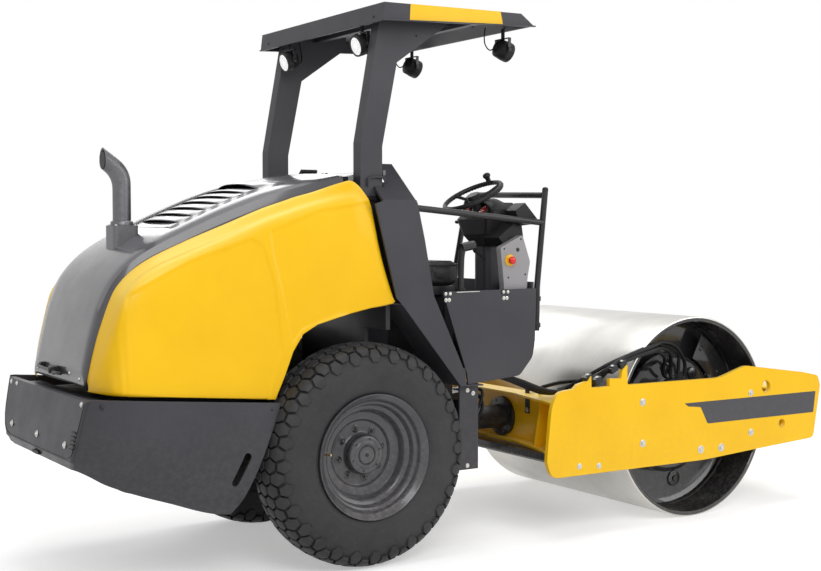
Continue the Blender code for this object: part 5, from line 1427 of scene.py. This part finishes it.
dials = []
dial_faces = []
dial_marks = []
for dy, radius in ((-0.070, 0.034), (0.010, 0.034), (0.078, 0.026)):
    spot = (0.884, station_y + dy, 1.7350)
    facing = (-0.72, 0.0, 0.69)
    dial = ring_body([(radius, 0.0), (radius + 0.005, 0.0), (radius + 0.004, 0.008), (radius, 0.009)], 36)
    dials.append(aimed(dial, spot, facing))
    dial_faces.append(aimed(lathe([(radius + 0.001, 0.0), (radius + 0.001, 0.0035)], 36), spot, facing))
    for k in range(9):
        t = radians(-30.0 + 30.0 * k)
        mark = block((radius * 0.72, 0.0036, -0.0008), (radius * 0.90, 0.0042, 0.0008))
        dial_marks.append(aimed(moved(mark, (0, 0, 0), Matrix.Rotation(t, 4, "Y")), spot, facing))
    needle = block((-0.003, 0.0044, -0.0009), (radius * 0.80, 0.0051, 0.0009))
    dial_marks.append(aimed(moved(needle, (0, 0, 0), Matrix.Rotation(radians(70.0), 4, "Y")), spot, facing))
place("dial_rims", dials, plastic, "rear_frame", 40.0)
place("dial_faces", dial_faces, gauge_red, "rear_frame", 40.0)
# the dial marks glow white: painted light
place("dial_marks", dial_marks, lens, "rear_frame", 40.0)

# emergency switch: mushroom head on a yellow ring
box_y = -0.575
switch_spot = (0.902, box_y, 1.475)
switch_base = lathe([(0.031, 0.0), (0.031, 0.004), (0.027, 0.006)], 36)
place("switch_ring", [aimed(switch_base, switch_spot, (0, -1, 0))], switch_yellow, "rear_frame", 35.0)
mushroom = lathe([(0.0120, 0.005), (0.0120, 0.016), (0.0190, 0.019), (0.0205, 0.025), (0.0190, 0.031),
                  (0.0130, 0.0345), (0.0040, 0.0355)], 32)
place("switch_mushroom", [aimed(mushroom, switch_spot, (0, -1, 0))], switch_red, "rear_frame", 50.0)
box_screws = []
for x, z in ((0.893, 1.385), (1.005, 1.400), (0.975, 1.585), (0.866, 1.535), (0.950, 1.100), (0.990, 1.200)):
    box_screws += dome((x, box_y, z), (0, -1, 0), 0.0050)
box_screws += bolt((0.955, box_y, 1.530), (0, -1, 0), 0.0070)
place("box_screws", box_screws, black, "rear_frame")
stalks = [
    pipe(smooth_line([(0.918, -0.345, 1.480), (0.885, -0.352, 1.492), (0.858, -0.355, 1.505),
                      (0.842, -0.356, 1.520)], 5), 0.0045, 10),
    aimed(lathe([(0.010, -0.004), (0.013, 0.004), (0.012, 0.016), (0.006, 0.021)], 18), (0.842, -0.356, 1.518),
          (-0.5, 0, 0.86)),
    pipe(smooth_line([(0.925, -0.255, 1.640), (0.900, -0.160, 1.668), (0.893, -0.120, 1.675)], 5), 0.0055, 10),
    aimed(lathe([(0.007, -0.002), (0.009, 0.006), (0.009, 0.022), (0.005, 0.027)], 18), (0.893, -0.122, 1.675),
          (0, 1, 0.1)),
]
place("column_stalks", stalks, plastic, "rear_frame", 45.0)
boot = lathe([(0.038, 0.0), (0.040, 0.006), (0.032, 0.012), (0.034, 0.018), (0.027, 0.024), (0.029, 0.030),
              (0.022, 0.036), (0.018, 0.046)], 28)
place("lever_boot", [aimed(boot, (0.61, -0.545, 1.295), (0, 0, 1))], hose_black, "rear_frame", 45.0)
fold = soft_outline([(0.375, -0.382), (0.612, -0.382), (0.612, -0.148), (0.375, -0.148)], 0.03)
bellows = [prism(fold, "Z", z, z + 0.009) for z in [1.205 + 0.018 * k for k in range(5)]]
place("seat_bellows", bellows, hose_black, "rear_frame", 40.0)
rail_bits = []
for x, y, z, facing in ((1.0785, -0.5805, 1.130, (0, 0, 1)), (1.0790, -0.5805, 1.270, (0, 0, 1)),
                        (1.0695, 0.1665, 1.130, (0, 0, 1)),
                        (1.0705, 0.1640, 1.280, (0, 0, 1))):
    rail_bits.append(aimed(ring_body([(0.0167, -0.012), (0.0215, -0.012), (0.0215, 0.012), (0.0167, 0.012)], 24),
                           (x, y, z), facing))
place("rail_clamps", rail_bits, black, "rear_frame", 35.0)
underside = []
for z in (0.440, 0.500):
    underside.append(pipe(smooth_line([(0.800, -0.185, z + 0.06), (0.900, -0.175, z + 0.09),
                                       (1.000, -0.165, z + 0.15), (1.060, -0.120, z + 0.23),
                                       (1.020, -0.08, 0.745)], 6), 0.0095, 10))
place("frame_hoses", underside, hose_black, "rear_frame", 60.0)


# seat: vinyl pads blown up by a short cloth run, with piping sewn on afterwards
def rectangle(x0, x1, y0, y1, radius):
    return soft_outline([(x0, y0), (x1, y0), (x1, y1), (x0, y1)], radius, 6)


def pad_shape(x0, x1, y0, y1, z0, z1, shrink):
    outline = rectangle(x0 + shrink, x1 - shrink, y0 + shrink, y1 - shrink, 0.06)
    cx = (x0 + x1) / 2
    cy = (y0 + y1) / 2
    rings = []
    for t, pull in ((0.0, 0.010), (0.12, 0.0), (0.88, 0.0), (1.0, 0.012)):
        z = z0 + shrink + (z1 - z0 - 2 * shrink) * t
        rings.append([((x - cx) * (1 - pull * 3) + cx, (y - cy) * (1 - pull * 3) + cy, z) for x, y in outline])
    return loft(rings)


def puffed(name, bm, cap, low, high, turn=None):
    """A pad that swells under slight pressure and then lies inside its box."""
    mesh = bpy.data.meshes.new(name)
    bm.to_mesh(mesh)
    bm.free()
    item = bpy.data.objects.new(name, mesh)
    bpy.context.scene.collection.objects.link(item)
    remesh = item.modifiers.new("remesh", "REMESH")
    remesh.mode = "VOXEL"
    remesh.voxel_size = 0.006
    view = bpy.context.evaluated_depsgraph_get()
    view.update()
    fine = bpy.data.meshes.new_from_object(item.evaluated_get(view))
    item.modifiers.clear()
    item.data = fine
    start = [v.co.copy() for v in fine.vertices]
    cloth = item.modifiers.new("cloth", "CLOTH")
    cloth.settings.quality = 5
    cloth.settings.mass = 0.3
    cloth.settings.tension_stiffness = 15.0
    cloth.settings.compression_stiffness = 15.0
    cloth.settings.shear_stiffness = 5.0
    cloth.settings.bending_stiffness = 0.5
    cloth.settings.use_pressure = True
    cloth.settings.uniform_pressure_force = 4.0
    cloth.settings.effector_weights.gravity = 0.0
    cloth.point_cache.frame_start = 1
    cloth.point_cache.frame_end = 20
    for step in range(1, 21):
        bpy.context.scene.frame_set(step)
    view = bpy.context.evaluated_depsgraph_get()
    swollen = bpy.data.meshes.new_from_object(item.evaluated_get(view))
    moved_points = [v.co.copy() for v in swollen.vertices]
    item.modifiers.clear()
    for vertex, a, b in zip(item.data.vertices, start, moved_points):
        step = b - a
        if step.length > cap:
            step = step.normalized() * cap
        vertex.co = a + step
    bpy.context.scene.frame_set(1)
    for vertex in item.data.vertices:
        for k in range(3):
            vertex.co[k] = max(low[k], min(high[k], vertex.co[k]))
        channel = 0.0
        for at in (-0.075, 0.075):
            channel = max(channel, 1.0 - abs(vertex.co[1] - station_y * (turn is None) - at) / 0.007)
        if channel > 0.0:
            up = (vertex.co[2] - low[2]) / (high[2] - low[2])
            if turn is None and up > 0.6:
                vertex.co[2] -= 0.0045 * channel
            elif turn is not None and vertex.co[0] > 0.5 * (low[0] + high[0]):
                vertex.co[0] -= 0.0045 * channel
    if turn is not None:
        item.data.transform(turn)
    item.data.transform(Matrix.Translation(shift))
    item.data.polygons.foreach_set("use_smooth", [True] * len(item.data.polygons))
    item.data.materials.clear()
    item.data.materials.append(vinyl)
    divided = item.modifiers.new("divided", "SUBSURF")
    divided.levels = 1
    divided.render_levels = 1
    return item


cushion = puffed("seat_pad", pad_shape(0.285, 0.665, station_y - 0.20, station_y + 0.20, 1.3454, 1.475, 0.010),
                 0.014,
                 (0.286, station_y - 0.199, 1.3458), (0.664, station_y + 0.199, 1.4745))
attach(cushion, "rear_frame")
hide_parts("seat_cushion")
back_turn = Matrix.Translation((0.36, station_y, 1.4810)) @ Matrix.Rotation(radians(-12.0), 4, "Y")
back_shape = pad_shape(-0.05, 0.05, -0.20, 0.20, 0.0, 0.215, 0.008)
back = puffed("seat_back_pad", back_shape, 0.012, (-0.049, -0.199, 0.003), (0.049, 0.199, 0.2135), back_turn)
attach(back, "rear_frame")
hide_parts("seat_back")


piping = [(x, y, 1.4555) for x, y in rectangle(0.2915, 0.6585, station_y - 0.1935, station_y + 0.1935, 0.06)]
place("seat_piping", [pipe(piping + piping[:2], 0.0035, 8)], vinyl, "rear_frame", 60.0)

# finishes of the solids that stay
finish_of = {
    "grey": ["canopy_post_left", "canopy_post_right", "canopy_roof", "counterweight", "pillar_cover_left",
             "pillar_cover_right",
             "platform_tub", "side_skirt_left", "side_skirt_right", "steering_column"],
    "hood": ["hood_shell", "hood_front_cover"],
    "yellow": ["yoke_plate_left", "yoke_plate_right", "rear_crossbeam", "front_crossbeam"],
    "black": ["bulkhead", "drive_lever", "handrail_front", "handrail_right", "hitch_flange", "hitch_knuckle",
              "lever_console",
              "rear_chassis", "scraper_front", "scraper_rear", "seat_base", "steering_barrel", "louvre_panel"],
    "gloss": ["drum_axle", "drum_carrier_left", "drum_carrier_right"],
    "plastic": ["dash_pod", "steering_wheel", "work_lamp_front_left", "work_lamp_front_right",
                "work_lamp_rear_left",
                "work_lamp_rear_right"],
    "cast": ["engine_block", "rear_axle"],
    "pale": ["control_box"],
    "hose": ["drum_hose"],
    "chrome": ["steering_rod"],
    "steel": ["exhaust_stack"],
}
paint_of = {"grey": grey, "hood": hood_grey, "yellow": yellow, "black": black, "gloss": gloss_black,
            "plastic": plastic,
            "cast": cast, "pale": pale, "hose": hose_black, "chrome": chrome, "steel": exhaust_steel}
for group, members in finish_of.items():
    for name in members:
        for slot_place in nodes[name].material_slots:
            slot_place.material = paint_of[group]

# floor, backdrop light and lamps
def seen_rays(owner):
    """1 for the rays that see the white backdrop: camera, glossy and transmission rays."""
    rays = add_node(owner, "LightPath").outputs
    direct = maths(owner, "MAXIMUM", rays["Is Camera Ray"], rays["Is Glossy Ray"])
    return maths(owner, "MAXIMUM", direct, rays["Is Transmission Ray"])


def blend_shaders(owner, share, first, second):
    return add_node(owner, "MixShader", {"Fac": share, 1: first, 2: second}).outputs["Shader"]


fade_from = 3.2
fade_to = 6.5
floor_reach = 60
stage_material = bpy.data.materials.new("floor_white")
stage_material.use_nodes = True
floor_nodes = stage_material.node_tree.nodes
floor_shader = floor_nodes["Principled BSDF"]
floor_shader.inputs["Base Color"].default_value = (0.86, 0.86, 0.86, 1.0)
floor_shader.inputs["Roughness"].default_value = 0.85
floor_shader.inputs["Specular IOR Level"].default_value = 0.1
shadowed = floor_shader.outputs["BSDF"]
lift = add_node(stage_material, "Emission", {"Color": white, "Strength": 0.40}).outputs["Emission"]
far_white = add_node(stage_material, "Emission", {"Color": white, "Strength": 1.0}).outputs["Emission"]
reach = add_node(stage_material, "VectorMath", {0: coords_of(stage_material)}, operation="LENGTH").outputs["Value"]
near_floor = add_node(stage_material, "AddShader", {0: shadowed, 1: lift}).outputs["Shader"]
faded_floor = blend_shaders(stage_material, range_of(stage_material, reach, fade_from, fade_to, 0.0, 1.0),
                            near_floor, far_white)
seen_floor = blend_shaders(stage_material, seen_rays(stage_material), shadowed, faded_floor)
stage_material.node_tree.links.new(seen_floor, floor_nodes["Material Output"].inputs["Surface"])
floor_mesh = bpy.data.meshes.new("floor")
floor_bm = bmesh.new()
floor_corners = [(-floor_reach, -floor_reach, 0), (floor_reach, -floor_reach, 0), (floor_reach, floor_reach, 0),
                 (-floor_reach, floor_reach, 0)]
floor_bm.faces.new([floor_bm.verts.new(p) for p in floor_corners])
floor_bm.to_mesh(floor_mesh)
floor_bm.free()
floor_mesh.materials.append(stage_material)
floor = bpy.data.objects.new("floor", floor_mesh)
bpy.context.scene.collection.objects.link(floor)

world = bpy.data.worlds.new("studio")
bpy.context.scene.world = world
world.use_nodes = True
world.node_tree.nodes.clear()
soft_light, white_sky = [add_node(world, "Background", {"Color": white, "Strength": strength}).outputs["Background"]
                         for strength in (0.42, 1.0)]
add_node(world, "OutputWorld", {"Surface": blend_shaders(world, seen_rays(world), soft_light, white_sky)})

lamp_rows = [
    # name, place, aim, power, width, height
    ("key", (-3.0, -7.0, 6.0), (0.0, 0.0, 1.0), 260.0, 4.0, 4.0),
    ("fill", (4.5, -6.0, 3.5), (0.6, 0.0, 0.8), 120.0, 4.5, 3.0),
    ("top", (0.0, 0.5, 7.5), (0.0, 0.0, 0.0), 250.0, 6.0, 5.0),
    ("back", (2.0, 7.0, 5.0), (0.0, 0.0, 1.2), 95.0, 5.0, 3.0),
]
for name, spot, aim, power, width, height in lamp_rows:
    data = bpy.data.lights.new(name, "AREA")
    data.energy = power
    data.shape = "RECTANGLE"
    data.size = width
    data.size_y = height
    lamp = bpy.data.objects.new(name, data)
    bpy.context.scene.collection.objects.link(lamp)
    lamp.location = spot
    direction = Vector(aim) - Vector(spot)
    lamp.rotation_euler = direction.to_track_quat("-Z", "Y").to_euler()

bpy.context.scene.view_settings.view_transform = "Standard"
